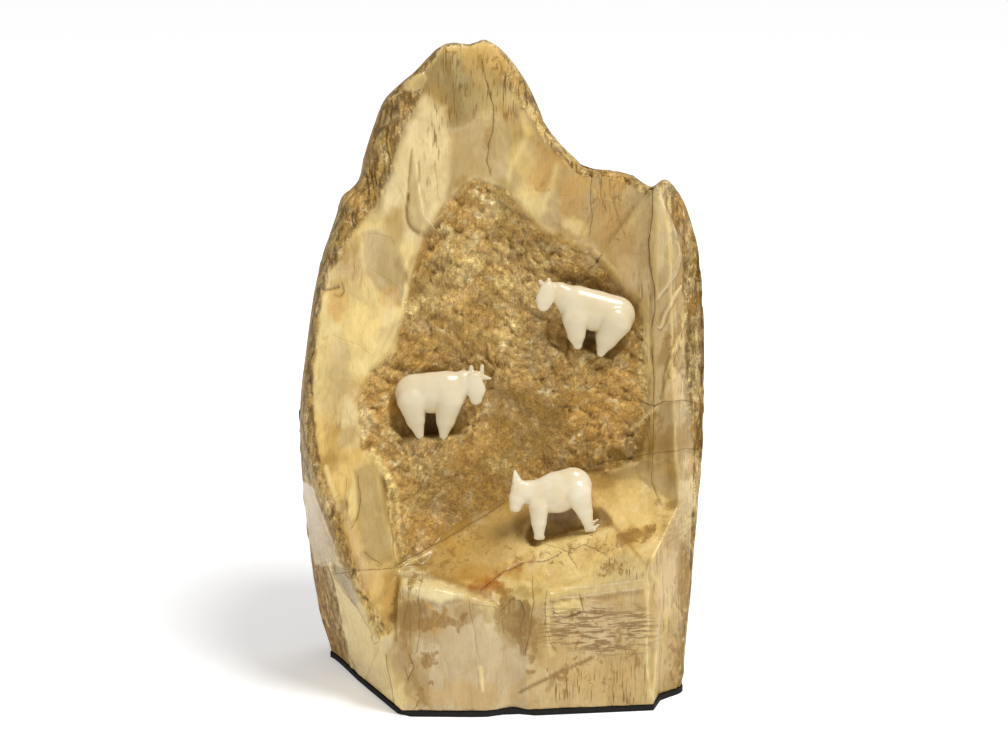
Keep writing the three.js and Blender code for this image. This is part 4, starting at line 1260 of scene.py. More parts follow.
# Dark cracks and the edges of layers.
CRACKS = (
    Crack(((482, 62), (486, 80), (491, 95), (494, 122), (490, 142), (486, 160), (490, 172)), 0.75),
    Crack(((434, 168), (438, 185), (440, 200)), 0.4),
    Crack(((500, 62), (504, 80), (503, 100)), 0.5),
    Crack(((592, 168), (590, 195), (592, 215), (590, 235)), 0.55),
    Crack(((601, 172), (600, 195), (606, 210)), 0.5),
    Crack(((610, 180), (612, 200), (624, 235)), 0.35),
    Crack(((653, 176), (652, 215), (649, 240), (650, 265), (655, 290), (655, 310), (652, 325)), 0.95, 0.5),
    Crack(((652, 325), (660, 331), (666, 322), (676, 300)), 0.5),
    Crack(((652, 350), (654, 380), (654, 408)), 1.0, 0.5),
    Crack(((654, 408), (653, 440), (653, 463)), 0.7, 0.5),
    Crack(((642, 402), (654, 406), (664, 402))),
    Crack(((686, 320), (678, 350), (668, 372), (662, 398)), 0.45),
    # Dark line along the crease where the ledge meets the wall on the right: painted shade.
    Crack(((560, 480), (600, 463), (650, 453), (701, 448)), 0.5),
    Crack(((651, 462), (652, 480), (658, 500)), 0.5),
    # Dark line along the crease where the ledge meets the wall on the left: painted shade.
    Crack(((395, 566), (440, 541), (470, 524), (505, 503)), 0.65),
    Crack(((336, 336), (352, 342), (371, 354)), 0.2),
    Crack(((345, 344), (352, 368), (362, 388)), 0.22),
    Crack(((371, 268), (390, 280), (404, 296)), 0.2),
    Crack(((371, 232), (392, 238), (404, 262), (409, 290)), 0.2),
    Crack(((358, 478), (361, 500), (357, 520), (352, 528)), 0.55),
    Crack(((347, 478), (345, 500), (349, 515)), 0.4),
    Crack(((388, 500), (392, 540), (397, 566)), 0.6),
    Crack(((335, 575), (360, 571), (395, 568), (425, 565)), 0.55),
    Crack(((366, 552), (383, 566)), 0.5),
    Crack(((344, 590), (360, 612), (372, 634)), 0.6),
    Crack(((370, 636), (374, 644), (380, 640), (376, 632)), 0.5),
    Crack(((386, 655), (390, 680), (394, 700)), 0.75),
    Crack(((410, 655), (414, 668), (409, 680), (406, 668)), 0.6),
    Crack(((422, 575), (418, 600), (420, 630), (417, 652)), 0.5),
    Crack(((408, 580), (409, 604), (404, 622)), 0.5),
    Crack(((468, 598), (474, 630), (478, 660)), 0.35),
    Crack(((500, 612), (512, 600), (521, 602), (524, 615), (520, 632)), 0.5),
    Crack(((532, 580), (534, 602), (528, 640), (526, 655)), 0.6),
    Crack(((546, 592), (546, 625), (549, 640), (556, 650)), 0.6),
    Crack(((553, 612), (565, 618), (583, 611)), 0.7, 0.6),
    Crack(((580, 597), (583, 610)), 0.7, 0.6),
    Crack(((470, 604), (490, 606), (505, 612)), 0.4),
    Crack(((480, 591), (500, 574), (524, 563), (546, 561), (566, 551), (585, 545), (604, 553)), 0.7),
    Crack(((545, 543), (566, 551), (577, 567)), 0.5),
    Crack(((558, 262), (578, 268), (598, 281)), 0.45),
    Crack(((428, 262), (452, 274), (480, 291)), 0.3),
    Crack(((498, 377), (508, 386), (524, 388)), 0.4),
    Crack(((450, 356), (468, 363), (476, 375)), 0.3),
    Crack(((622, 320), (640, 336), (652, 350)), 0.3),
    Crack(((663, 402), (684, 400), (700, 405)), 0.5),
)


@dataclass
class Surface:
    """What is worked out at every vertex of the mountain.

    Attributes:
        place: Three columns of mm.
        tint: Three columns of linear colour.
        core: Share of rough core.
        skin: Share of weathered outer skin.
        pit: How deep in a crevice, from 0 to 1.
        stain: Share of ragged brown stain.
        streak: Share of fine dark streaks that run up and down.
        cross: Share of fine dark streaks that run across.
        crack: Distance to the nearest crack in mm, negative on one side.
        cracked: How dark that crack is, 0 away from it.
        bright: Distance to the nearest painted highlight line in mm, negative on one side.
        brightened: How strong that painted highlight is, 0 away from it.
    """

    place: Array
    tint: Array
    core: Array
    skin: Array
    pit: Array
    stain: Array
    streak: Array
    cross: Array
    crack: Array
    cracked: Array
    bright: Array
    brightened: Array

    def joined(self, other: "Surface") -> "Surface":
        """Return this surface with another's vertices after its own."""
        pairs = ((getattr(self, part.name), getattr(other, part.name)) for part in fields(self))
        return Surface(*(np.concatenate(pair) for pair in pairs))


@dataclass
class Mountain:
    """The chunk of tusk that the goats stand on, with its broken core and its bark-like skin.

    Attributes:
        form: The chunk's cut form.
        sight: The line of sight that marks are placed by.
        front_cells: Cells from the middle of the front to its edge.
        edge_ratio: Front cells for each cell of the back.
        facet_sizes: Sizes of the core's broken facets in mm.
        facet_slopes: How steep they lie.
        furrow: Size of a furrow of the skin, across, across and along, in mm.
        furrow_depth: How deep the furrows are in mm.
        groove_depth: How deep the long grooves of the back are in mm.
        wave_depth: How deep the broad waves of the polished faces are in mm.
        ledge_depth: How deep the unevenness of the ledge is in mm.
        plane_size: Size of the small flat planes that polishing left, in mm.
        plane_slope: How steep they lie.
        bark_step: How far the skin stands above the cut faces, in mm.
        mark_relief: How many times its stated height a mark stands out.
        edge_wander: How much the outline wanders in mm.
        crack_reach: How far from a line its distance is kept, in mm.
        wear_and_painted_light: Steps of averaging, how far a place stands out in mm, and how pale or dark it
            then is, as painted light and wear.
    """

    form: TuskForm = field(default_factory=TuskForm)
    sight: Sight = field(default_factory=Sight)
    front_cells: int = 144
    edge_ratio: int = 3
    facet_sizes: tuple[float, ...] = (3.8, 1.8)
    facet_slopes: tuple[float, ...] = (0.30, 0.34)
    furrow: Point3 = (1.7, 3.0, 9.0)
    furrow_depth: float = 0.6
    groove_depth: float = 0.9
    wave_depth: float = 0.12
    ledge_depth: float = 0.25
    plane_size: float = 10.0
    plane_slope: float = 0.025
    bark_step: float = 0.6
    mark_relief: float = 1.25
    edge_wander: float = 0.22
    crack_reach: float = 1.1
    wear_and_painted_light: tuple[Point3, ...] = ((4, 0.25, 0.40), (40, 1.3, 0.18))

    def grid(self, cells: int, ring_x: Array, ring_h: Array) -> tuple[Array, Array]:
        """Lay a square grid out so that its border follows a closed ring.

        Args:
            cells: Cells from the middle to the border.
            ring_x: Places across of the ring.
            ring_h: Places up of the ring.

        Returns:
            The grid's places across and up.
        """
        steps = np.linspace(-1.0, 1.0, 2 * cells + 1)
        a, b = np.meshgrid(steps, steps, indexing="ij")
        out = np.maximum(np.abs(a), np.abs(b))
        unit = np.where(out == 0, 1.0, out)
        a, b = a / unit, b / unit
        lap = np.where(a <= -1, (b + 1) / 2, 0.0)
        lap = np.where((b >= 1) & (a > -1), 1 + (a + 1) / 2, lap)
        lap = np.where((a >= 1) & (b < 1), 2 + (1 - b) / 2, lap)
        lap = np.where((b <= -1) & (a < 1) & (a > -1), 3 + (1 - a) / 2, lap)
        at = np.arange(len(ring_x) + 1)
        closed_x = np.append(ring_x, ring_x[0])
        closed_h = np.append(ring_h, ring_h[0])
        place = lap / 4.0 * len(ring_x)
        border_x = np.interp(place, at, closed_x)
        border_h = np.interp(place, at, closed_h)
        reach = 0.8 * out + 0.2 * np.sin(out * math.pi / 2)
        middle = self.form.centre_height * LOOK_COS
        return border_x * reach, middle + (border_h - middle) * reach

    def ring(self) -> tuple[Array, Array, Array]:
        """Let the outline wander a little and close it along its foot.

        Returns:
            Its x, z and v in mm.
        """
        x, z = self.form.rim[:, 0], self.form.rim[:, 1]
        wander = layered_noise((x, 0 * x, z), (5.0, 5.0, 5.0), 3, 71)
        out = np.hypot(x, z - self.form.centre_height)
        x = x + self.edge_wander * wander * x / out
        z = z + self.edge_wander * wander * (z - self.form.centre_height) / out
        foot = np.linspace(0, 1, int(abs(x[-1] - x[0]) / 0.9))[1:-1]
        x = np.append(x, x[-1] + (x[0] - x[-1]) * foot)
        z = np.append(z, z[-1] + (z[0] - z[-1]) * foot)
        return x, z, laid_out(self.form.edge_depth(x, z), z)

    def broken(self, at: Places) -> tuple[Array, Array]:
        """Shape the core as broken ivory: lumps, ridges and small facets at all angles.

        Args:
            at: Places in mm.

        Returns:
            How far the surface lies in, in mm, and how deep in a crevice it is, from 0 to 1.
        """
        x, y, z = at
        warp = 1.2 * layered_noise(at, (5.0, 5.0, 5.0), 2, 5)
        turned = x * 0.5 + z * 0.87
        ridged = np.abs(layered_noise((x + warp, y, turned), (9.0, 9.0, 4.5), 3, 7))
        lumps = layered_noise(at, (10.0, 10.0, 8.0), 3, 8)
        into = 1.1 * lumps - 1.0 * ridged
        pit = smooth_step(0.10, 0.0, ridged)
        for k, (size, slope) in enumerate(zip(self.facet_sizes, self.facet_slopes)):
            first, second, tilt, _ = cell_facets((x + warp, 0.4 * y, z - warp), size, 40 + 10 * k)
            into = into + size * slope * tilt
            pit = np.maximum(pit, 0.5 * smooth_step(0.12, 0.0, second - first))
        into = into + 0.15 * layered_noise(at, (1.2, 1.2, 1.2), 2, 9)
        return into, pit

    def planed(self, at: Places) -> tuple[Array, ...]:
        """Lay out the small flat planes that the polishing left.

        Args:
            at: Places in mm.

        Returns:
            The planes as cells.
        """
        x, y, z = at
        warp = 2.2 * layered_noise(at, (9.0, 9.0, 9.0), 2, 91)
        return cell_facets((x + warp, 0.5 * y, 0.6 * z - warp), self.plane_size, 95)

    def bark(self, at: Places) -> Array:
        """Shape the furrows of the skin.

        Args:
            at: Places in mm.

        Returns:
            1 at the bottom of a furrow and 0 on a ridge.
        """
        x, y, z = at
        warp = 0.9 * layered_noise(at, (6.0, 6.0, 6.0), 2, 31)
        wave = np.abs(layered_noise((x + warp, y, z + warp), self.furrow, 3, 33))
        return smooth_step(0.42, 0.0, wave)

    def front(self) -> Surface:
        """Shape and colour the front.

        Returns:
            The front's vertices, row by row of the grid.
        """
        ring_x, _, ring_v = self.ring()
        x, v = self.grid(self.front_cells, ring_x, ring_v)
        x, v = x.ravel(), v.ravel()
        y, masks, measure = self.form.front(x, v)
        at = (x, y, height_at(y, v))
        px, py = self.sight.seen(*at)

        # Where the core is broken and where the skin is left, each with a ragged border.
        edge_noise = layered_noise(at, (5.0, 5.0, 5.0), 3, 21)
        core = smooth_step(-0.5, 0.7, measure["core"] + 0.9 * edge_noise)
        core = core * (masks[Face.CORE] + masks[Face.HOLLOW] > 0.02) * (1 - 0.6 * masks[Face.HOLLOW])
        core = core * (1 - masks[Face.LEDGE])
        share = measure["edge"] / measure["band"]
        bark = np.max([mark.cover(px, py) * mark.strength for mark in SKINS], axis=0)
        skin = np.maximum(smooth_step(1.1, 0.85, share + 0.12 * edge_noise), bark)
        for mark in BARE:
            skin = skin * (1 - mark.cover(px, py) * mark.strength)
        rim = smooth_step(0.0, 0.35, share)
        calm = 1.0 - covered(CALM, px, py)

        # How far the surface lies in, from all that roughens it.
        broken, pit = self.broken(at)
        furrows = self.bark(at)
        waves = layered_noise(at, (8.0, 8.0, 12.0), 3, 3)
        _, _, tilt, own = self.planed(at)
        even = self.wave_depth * waves + self.plane_slope * self.plane_size * tilt
        into = core * calm * broken + even * (1 - core)
        into = into + rim * (skin * self.furrow_depth * furrows - bark * self.bark_step)
        into = into + self.ledge_depth * masks[Face.LEDGE] * layered_noise(at, (5.0, 5.0, 5.0), 3, 12)

        # Shares of stains and streaks, which the shader breaks up.
        streak = skin * 0.5 + 0.9 * masks[Face.PEAK_TOP] * smooth_step(416, 436, px)
        streak = streak + 0.25 * masks[Face.UPPER_RIGHT]
        streak = streak + 0.5 * masks[Face.CORNER_RIGHT] + 0.15 * masks[Face.RIGHT]
        streak = covered(STREAKS, px, py, streak)
        stain = covered(STAINS, px, py)
        cross = covered(CROSS_STREAKS, px, py)
        # Colours of the facets, then of the core, the skin and each mark over them.
        tint = self.washed(
            self.facet_tint(at, masks),
            (smooth_step(0.70, 0.80, own) * 0.12, Tone.WHITE),
            (smooth_step(0.28, 0.24, own) * 0.12, Tone.LEATHER))
        tint = tint + core[:, None] * (self.core_tint(at, pit) - tint)
        tint = tint + skin[:, None] * (self.skin_tint(at, furrows) - tint)
        pit = pit * core + 0.7 * skin * furrows
        for tone, mark in MARKS:
            cover = mark.cover(px, py)
            tint = self.washed(tint, (cover * mark.strength, tone))
            into = into - self.mark_relief * mark.raised * cover * rim
        crack, cracked = self.nearest_line(CRACKS, px, py)
        into = into + 0.3 * cracked * smooth_step(0.6, 0.1, np.abs(crack)) * rim
        y = y + into * smooth_step(0.0, 0.08, share)
        # Painted highlight and wear where the surface stands out, painted shade and dirt where it lies in.
        for passes, reached, worn in self.wear_and_painted_light:
            out = self.stands_out(y, passes) / reached
            worn = worn * (1 - 0.6 * np.maximum(core, skin))
            pale, dark = smooth_step(0.1, 1.0, out) * worn, smooth_step(0.1, 1.0, -out) * worn
            tint = self.washed(tint, (pale, Tone.CREAM), (dark, Tone.BROWN))
        # Painted highlight lines along polished edges.
        bright, brightened = self.nearest_line(PAINTED_HIGHLIGHTS, px, py)
        place = np.stack([x, y, height_at(y, v)], axis=1)
        shares = (np.clip(share, 0, 1) for share in (pit, stain, streak, cross))
        return Surface(place, tint, core, skin, *shares, crack, cracked, bright, brightened)

    def nearest_line(self, lines: tuple[Crack, ...], px: Array, py: Array) -> tuple[Array, Array]:
        """Measure how far each place is from the nearest of some lines.

        Args:
            lines: The lines.
            px: Places across in picture units.
            py: Places down in picture units.

        Returns:
            The distance in mm, negative on one side, and the line's strength near it.
        """
        nearest = np.full(len(px), FAR)
        signed = nearest
        strength = 0 * nearest
        for line in lines:
            off, distance = line.measure(px, py)
            nearer = distance < nearest
            near = smooth_step(self.crack_reach, self.crack_reach * 0.6, distance)
            signed = np.where(nearer, off, signed)
            nearest = np.where(nearer, distance, nearest)
            strength = np.where(nearer, near * line.strength, strength)
        return signed, strength

    def stands_out(self, depth: Array, passes: int) -> Array:
        """Compare the front's depth with the mean depth around each place.

        Args:
            depth: Depths in mm, row by row of the grid.
            passes: Steps of averaging.

        Returns:
            How far each place stands out, in mm.
        """
        n = 2 * self.front_cells + 1
        mean = depth.reshape(n, n)
        for _ in range(passes):
            wide = np.pad(mean, 1, mode="edge")
            mean = (wide[:-2, 1:-1] + wide[2:, 1:-1] + wide[1:-1, :-2] + wide[1:-1, 2:]) / 4
        return mean.ravel() - depth

    @staticmethod
    def washed(tint: Array, *washes: tuple[Array, Tone]) -> Array:
        """Wash shares of tones over colours, one after another.

        Args:
            tint: Colours to start from.
            *washes: Each wash's share and its tone.

        Returns:
            The washed colours.
        """
        for share, tone in washes:
            tint = tint + np.clip(share, 0, 1)[:, None] * (tone.light - tint)
        return tint

    def facet_tint(self, at: Places, masks: dict[Face, Array]) -> Array:
        """Colour the cut and polished facets: each facet's tone, marbled with its neighbours', with painted
        shade in the hollows.

        Args:
            at: Places in mm.
            masks: How much each place belongs to each facet.

        Returns:
            Linear colours.
        """
        x, y, z = at
        tint = np.zeros((len(x), 3))
        total = np.zeros(len(x))
        for face, tone in FACE_TONES.items():
            tint += masks[face][:, None] * tone.light
            total += masks[face]
        tint += np.clip(1.0 - total, 0, 1)[:, None] * Tone.SAND.light
        tint = tint / np.maximum(total, 1.0)[:, None]
        warp = 3.0 * layered_noise(at, (12.0, 12.0, 12.0), 2, 81)
        broad = layered_noise((x + warp, y, z - warp), (9.0, 9.0, 15.0), 3, 83)
        veins = np.abs(layered_noise((x + warp, y + warp, z), (6.0, 6.0, 12.0), 3, 85))
        return self.washed(
            tint,
            (smooth_step(0.2, 1.0, broad) * 0.30, Tone.HONEY),
            (smooth_step(0.2, 1.0, -broad) * 0.35, Tone.CREAM),
            (smooth_step(0.08, 0.0, veins) * 0.25, Tone.BROWN),
            # Painted shade: the hollows behind the goats are washed leather brown.
            (masks[Face.HOLLOW] * 0.6, Tone.LEATHER))

    def core_tint(self, at: Places, pit: Array) -> Array:
        """Colour the broken core: honey and leather brown with pale grains and dark crevices.

        Args:
            at: Places in mm.
            pit: How deep in a crevice each place is.

        Returns:
            Linear colours.
        """
        broad = layered_noise(at, (11.0, 11.0, 9.0), 3, 51)
        fine = layered_noise(at, (2.4, 2.4, 2.0), 3, 53)
        return self.washed(
            np.tile(Tone.SAND.light, (len(pit), 1)),
            (smooth_step(0.1, 1.0, broad) * 0.7, Tone.CREAM),
            (smooth_step(0.0, 0.9, -broad) * 0.6, Tone.HONEY),
            (smooth_step(0.3, 1.1, fine) * 0.8, Tone.WHITE),
            (smooth_step(0.1, 1.1, -fine) * 0.5, Tone.LEATHER),
            (pit * 0.3, Tone.BROWN))

    def skin_tint(self, at: Places, furrows: Array) -> Array:
        """Colour the weathered skin: gold and grey ridges with brown furrows and dark specks.

        Args:
            at: Places in mm.
            furrows: How deep in a furrow each place is.

        Returns:
            Linear colours.
        """
        broad = layered_noise(at, (7.0, 7.0, 12.0), 3, 61)
        patchy = layered_noise(at, (3.0, 3.0, 6.0), 3, 62)
        speck = layered_noise(at, (1.2, 1.2, 1.8), 2, 63)
        return self.washed(
            np.tile(Tone.LEATHER.light, (len(furrows), 1)),
            (smooth_step(0.0, 0.8, broad) * 0.8, Tone.OLIVE),
            (smooth_step(0.0, 0.8, -broad) * 0.7, Tone.GOLD),
            (smooth_step(0.1, 0.9, patchy) * 0.7, Tone.CREAM),
            (smooth_step(0.1, 0.9, -patchy) * 0.5, Tone.BROWN),
            (furrows * 0.75, Tone.DARK_BROWN),
            (smooth_step(0.4, 0.9, speck) * 0.8, Tone.NEAR_BLACK))

    def back(self) -> Surface:
        """Shape and colour the back: the tusk's own round skin with furrows along it.

        Returns:
            The back's vertices, row by row of the grid.
        """
        ring_x, ring_z, _ = self.ring()
        x, z = self.grid(self.front_cells // self.edge_ratio, ring_x, ring_z)
        x, z = x.ravel(), z.ravel()
        y = self.form.back(x, z)
        distance, _, _ = distance_to(x, z, self.form.rim[:, :2])
        furrows = self.bark((x, y, z))
        grooves = layered_noise((x, y, z), (4.0, 6.0, 60.0), 2, 35)
        y = y - smooth_step(0.0, 3.0, distance) * (self.furrow_depth * furrows + self.groove_depth * grooves)
        full = np.ones(len(x))
        none = 0 * full
        tint = self.washed(
            self.skin_tint((x, y, z), furrows),
            (0.4 * full, Tone.LEATHER),
            (smooth_step(0.1, 0.8, grooves) * 0.55, Tone.DARK_BROWN),
            (smooth_step(0.2, 0.9, -grooves) * 0.35, Tone.DUST))
        place = np.stack([x, y, z], axis=1)
        pit = 0.7 * furrows
        far = FAR * full
        return Surface(place, tint, none, full, pit, none, 0.5 * full, none, far, none, far, none)

    def faces(self) -> tuple[Array, Array, Array]:
        """Number the faces of the front and the back and of the seam between.

        Returns:
            Front squares, back squares, and the triangles that join the back to the finer front, by
            vertex number.
        """
        n = 2 * self.front_cells + 1
        m = 2 * (self.front_cells // self.edge_ratio) + 1
        ahead = np.arange(n * n).reshape(n, n)
        behind = np.arange(m * m).reshape(m, m) + n * n
        for side in (0, -1):
            behind[side, :] = ahead[side, ::self.edge_ratio]
            behind[:, side] = ahead[::self.edge_ratio, side]
        front = np.stack([ahead[:-1, :-1], ahead[1:, :-1], ahead[1:, 1:], ahead[:-1, 1:]], axis=-1)
        inner = behind[1:-1, 1:-1]
        back = np.stack([inner[:-1, :-1], inner[:-1, 1:], inner[1:, 1:], inner[1:, :-1]], axis=-1)
        seam = []
        for i, j in np.ndindex(m - 1, m - 1):
            corners = ((i, j), (i, j + 1), (i + 1, j + 1), (i + 1, j))
            outer = [row in (0, m - 1) or column in (0, m - 1) for row, column in corners]
            if any(outer):
                first = outer.index(False)
                lap = self.lap(corners[first:] + corners[:first + 1], ahead, behind)
                seam.extend((lap[0], lap[k], lap[k + 1]) for k in range(1, len(lap) - 1))
        return front.reshape(-1, 4), back.reshape(-1, 4), np.array(seam)

    def lap(self, corners: Sequence[tuple[int, int]], ahead: Array, behind: Array) -> list[int]:
        """Walk round a cell at the back's border, in the front's finer steps along its outer sides.

        Args:
            corners: Rows and columns of its corners in the back's grid, the first one twice.
            ahead: Vertex numbers of the front's grid.
            behind: Vertex numbers of the back's grid.

        Returns:
            The vertex numbers on the way.
        """
        ends = (0, len(behind) - 1)
        out = []
        for (row, column), (next_row, next_column) in zip(corners, corners[1:]):
            down, across = next_row - row, next_column - column
            if (down == 0 and row in ends) or (across == 0 and column in ends):
                steps = ((row * self.edge_ratio + k * down, column * self.edge_ratio + k * across)
                         for k in range(self.edge_ratio))
                out.extend(ahead[step] for step in steps)
            else:
                out.append(behind[row, column])
        return out

    def build(self) -> bpy.types.Object:
        """Make the mesh, saw it off flat at the foot and close the cut.

        Returns:
            The mountain.
        """
        surface = self.front().joined(self.back())
        front, back, seam = self.faces()
        mesh = bpy.data.meshes.new("mountain")
        faces = front.tolist() + back.tolist() + seam.tolist()
        mesh.from_pydata(((surface.place + PLACE) * MM).tolist(), [], faces)
        give_colour(mesh, "tint", surface.tint)
        for part in fields(surface)[2:]:
            give_number(mesh, part.name, getattr(surface, part.name))
        solid = bmesh.new()
        solid.from_mesh(mesh)
        loose = [vertex for vertex in solid.verts if not vertex.link_faces]
        bmesh.ops.delete(solid, geom=loose, context="VERTS")
        parts = solid.verts[:] + solid.edges[:] + solid.faces[:]
        level = Vector((0, 0, self.form.saw_cut * MM))
        bmesh.ops.bisect_plane(solid, geom=parts, plane_co=level, plane_no=(0, 0, -1), clear_outer=True)
        rim = [edge for edge in solid.edges if edge.is_boundary]
        made = bmesh.ops.contextual_create(solid, geom=rim)
        bmesh.ops.triangulate(solid, faces=made["faces"])
        bmesh.ops.recalc_face_normals(solid, faces=solid.faces)
        solid.to_mesh(mesh)
        solid.free()
        for face in mesh.polygons:
            face.use_smooth = abs(face.normal.z) < 0.999
        return add_object("tusk_mountain", mesh)


def give_colour(mesh: bpy.types.Mesh, name: str, values: Array) -> None:
    """Keep a colour at every vertex of a mesh.

    Args:
        mesh: The mesh.
        name: Name that the colour is kept by.
        values: One row of linear colour for each vertex.
    """
    layer = mesh.attributes.new(name, "FLOAT_COLOR", "POINT")
    opaque = np.ones((len(values), 1))
    layer.data.foreach_set("color", np.concatenate([values, opaque], axis=1).ravel())


def give_number(mesh: bpy.types.Mesh, name: str, values: Array) -> None:
    """Keep a number at every vertex of a mesh."""
    layer = mesh.attributes.new(name, "FLOAT", "POINT")
    layer.data.foreach_set("value", np.asarray(values, float))


def add_object(name: str, mesh: bpy.types.Mesh) -> bpy.types.Object:
    """Put a mesh into the scene as an object.

    Args:
        name: The object's name.
        mesh: Its mesh.

    Returns:
        The object.
    """
    made = bpy.data.objects.new(name, mesh)
    bpy.context.scene.collection.objects.link(made)
    return made


@dataclass(frozen=True)
class Limb:
    """A row of balls that are joined by cones, in mm from the foot of the goat.

    Attributes:
        balls: Along, up and radius of each ball.
        aside: How far the limb stands to either side; 0 is one limb in the middle.
        join: How softly it grows out of the body.
        ahead: How far it is moved towards the front.
        thin: How much thinner it is than the rest from front to back.
    """

    balls: tuple[Point3, ...]
    aside: float = 0.0
    join: float = 1.0
    ahead: float = 0.0
    thin: float = 1.0

    def distance(self, x: Array, y: Array, z: Array, flatness: float) -> Array:
        """Measure how far places are outside the limb.

        Args:
            x: Places across in mm.
            y: Depths in mm.
            z: Heights in mm.
            flatness: How much thinner the goat is than a round body.

        Returns:
            Distances in mm, negative inside.
        """
        best = np.full(np.shape(x), BEYOND)
        sides = (-self.aside, self.aside) if self.aside else (0.0,)
        for side in sides:
            near = (y - side + self.ahead) / (flatness * self.thin)
            whole = np.full(np.shape(x), BEYOND)
            for (ax, az, ar), (bx, bz, br) in zip(self.balls, self.balls[1:]):
                ex, ez = bx - ax, bz - az
                along = np.clip(((x - ax) * ex + (z - az) * ez) / (ex * ex + ez * ez), 0, 1)
                apart = np.sqrt((x - ax - along * ex) ** 2 + near**2 + (z - az - along * ez) ** 2)
                whole = soft_min(whole, apart - ar - along * (br - ar), 0.5)
            best = np.minimum(best, whole)
        return best


@dataclass
class Goat:
    """A small goat carved in white ivory.

    Attributes:
        node: Name of the piece.
        at: Middle of its feet in mm.
        limbs: The body first, then legs, horns and ears.
        flatness: How much thinner it is from side to side than a round body.
        cell: Size of a cell of the mesh in mm.
        toned: Share of a darker tone on its back, then at its feet; its rise towards the feet is painted
            shade.
    """

    node: str
    at: Point3
    limbs: tuple[Limb, ...]
    flatness: float = 0.7
    cell: float = 0.3
    toned: tuple[float, float] = (0.4, 0.75)

    def distance(self, x: Array, y: Array, z: Array) -> Array:
        """Measure how far places are outside the goat.

        Args:
            x: Places across in mm.
            y: Depths in mm.
            z: Heights in mm.

        Returns:
            Distances in mm, negative inside.
        """
        total = self.limbs[0].distance(x, y, z, self.flatness)
        for limb in self.limbs[1:]:
            total = soft_min(total, limb.distance(x, y, z, self.flatness), limb.join)
        return total

    def build(self) -> bpy.types.Object:
        """Make the mesh of the goat.

        Returns:
            The goat.
        """
        balls = [(*ball, limb.aside) for limb in self.limbs for ball in limb.balls]
        along, up, radius, aside = np.array(balls).T
        margin = 3 * self.cell
        half = (aside + self.flatness * radius).max() + margin
        low = np.array([(along - radius).min() - margin, -half, (up - radius).min() - margin])
        high = np.array([(along + radius).max() + margin, half, (up + radius).max() + margin])
        steps = [np.arange(a, b, self.cell) for a, b in zip(low, high)]
        places, faces = net_of(self.distance(*np.meshgrid(*steps, indexing="ij")))
        places = places * self.cell + low + np.array(self.at)
        mesh = bpy.data.meshes.new(self.node)
        mesh.from_pydata(((places + PLACE) * MM).tolist(), [], faces.tolist())
        # A darker tone all over, growing towards the feet as painted shade.
        up = (places[:, 2] - places[:, 2].min()) / np.ptp(places[:, 2])
        back, feet = self.toned
        give_number(mesh, "tone_and_painted_shade", back + (feet - back) * smooth_step(0.85, 0.25, up))
        for face in mesh.polygons:
            face.use_smooth = True
        return add_object(f"ivory_{self.node}", mesh)


def net_of(value: Array) -> tuple[Array, Array]:
    """Draw a smooth net of squares where a grid of values passes through 0.

    Args:
        value: Values on a grid, negative inside.

    Returns:
        Places in cells, and the squares by vertex number.
    """
    inside = value < 0
    shape = np.array(value.shape) - 1
    total = np.zeros((*shape, 3))
    count = np.zeros(shape)

    def part(grid: Array, corner: tuple[int, int, int]) -> Array:
        """Return the grid moved by a corner, cut to the cells."""
        return grid[tuple(slice(c, c + s) for c, s in zip(corner, shape))]

    for a in product((0, 1), repeat=3):
        for axis in (i for i in range(3) if not a[i]):
            b = tuple(c + (i == axis) for i, c in enumerate(a))
            va, vb = part(value, a), part(value, b)
            crosses = part(inside, a) != part(inside, b)
            share = np.where(crosses, va / np.where(crosses, va - vb, 1.0), 0.0)
            for i in range(3):
                total[..., i] += np.where(crosses, a[i] + (share if i == axis else 0.0), 0.0)
            count += crosses
    used = count > 0
    number = np.full(shape, -1)
    number[used] = np.arange(int(used.sum()))
    places = (total[used] / count[used][:, None]) + np.argwhere(used)
    faces = []
    for axis in range(3):
        other = [i for i in range(3) if i != axis]
        start, end = [slice(None)] * 3, [slice(None)] * 3
        start[axis], end[axis] = slice(0, -1), slice(1, None)
        enters = inside[tuple(start)] & ~inside[tuple(end)]
        leaves = ~inside[tuple(start)] & inside[tuple(end)]
        for change, flip in ((enters, False), (leaves, True)):
            at = np.argwhere(change)
            at = at[(at[:, other[0]] > 0) & (at[:, other[1]] > 0)]
            at = at[(at[:, other[0]] < shape[other[0]]) & (at[:, other[1]] < shape[other[1]])]
            ring = []
            for da, db in ((0, 0), (1, 0), (1, 1), (0, 1)):
                cell = at.copy()
                cell[:, other[0]] -= da
                cell[:, other[1]] -= db
                ring.append(number[cell[:, 0], cell[:, 1], cell[:, 2]])
            square = np.stack(ring, axis=1)
            if flip != (axis == 1):
                square = square[:, ::-1]
            faces.append(square)
    return places, np.concatenate(faces)


def node(tree: bpy.types.NodeTree, kind: str, inputs: dict | None = None,
         **settings: object) -> bpy.types.Node:
    """Add a node to a tree.

    Args:
        tree: Tree to add it to.
        kind: Blender's name of the kind of node.
        inputs: Values, tones, or sockets to link from, by input name or number.
        **settings: Other settings of the node.

    Returns:
        The new node.
    """
    made = tree.nodes.new(kind)
    for name, value in settings.items():
        setattr(made, name, value)
    plug(tree, made, inputs or {})
    return made


def plug(tree: bpy.types.NodeTree, made: bpy.types.Node, inputs: dict) -> None:
    """Set a node's inputs: link a socket, turn a tone or hex code to a colour, keep a number.

    Args:
        tree: Tree of the node.
        made: The node.
        inputs: Values by input name or number.
    """
    for name, value in inputs.items():
        if isinstance(value, Tone):
            value = value.value
        if isinstance(value, str):
            value = (*linear(value), 1.0)
        if isinstance(value, Socket):
            tree.links.new(value, made.inputs[name])
        else:
            made.inputs[name].default_value = value


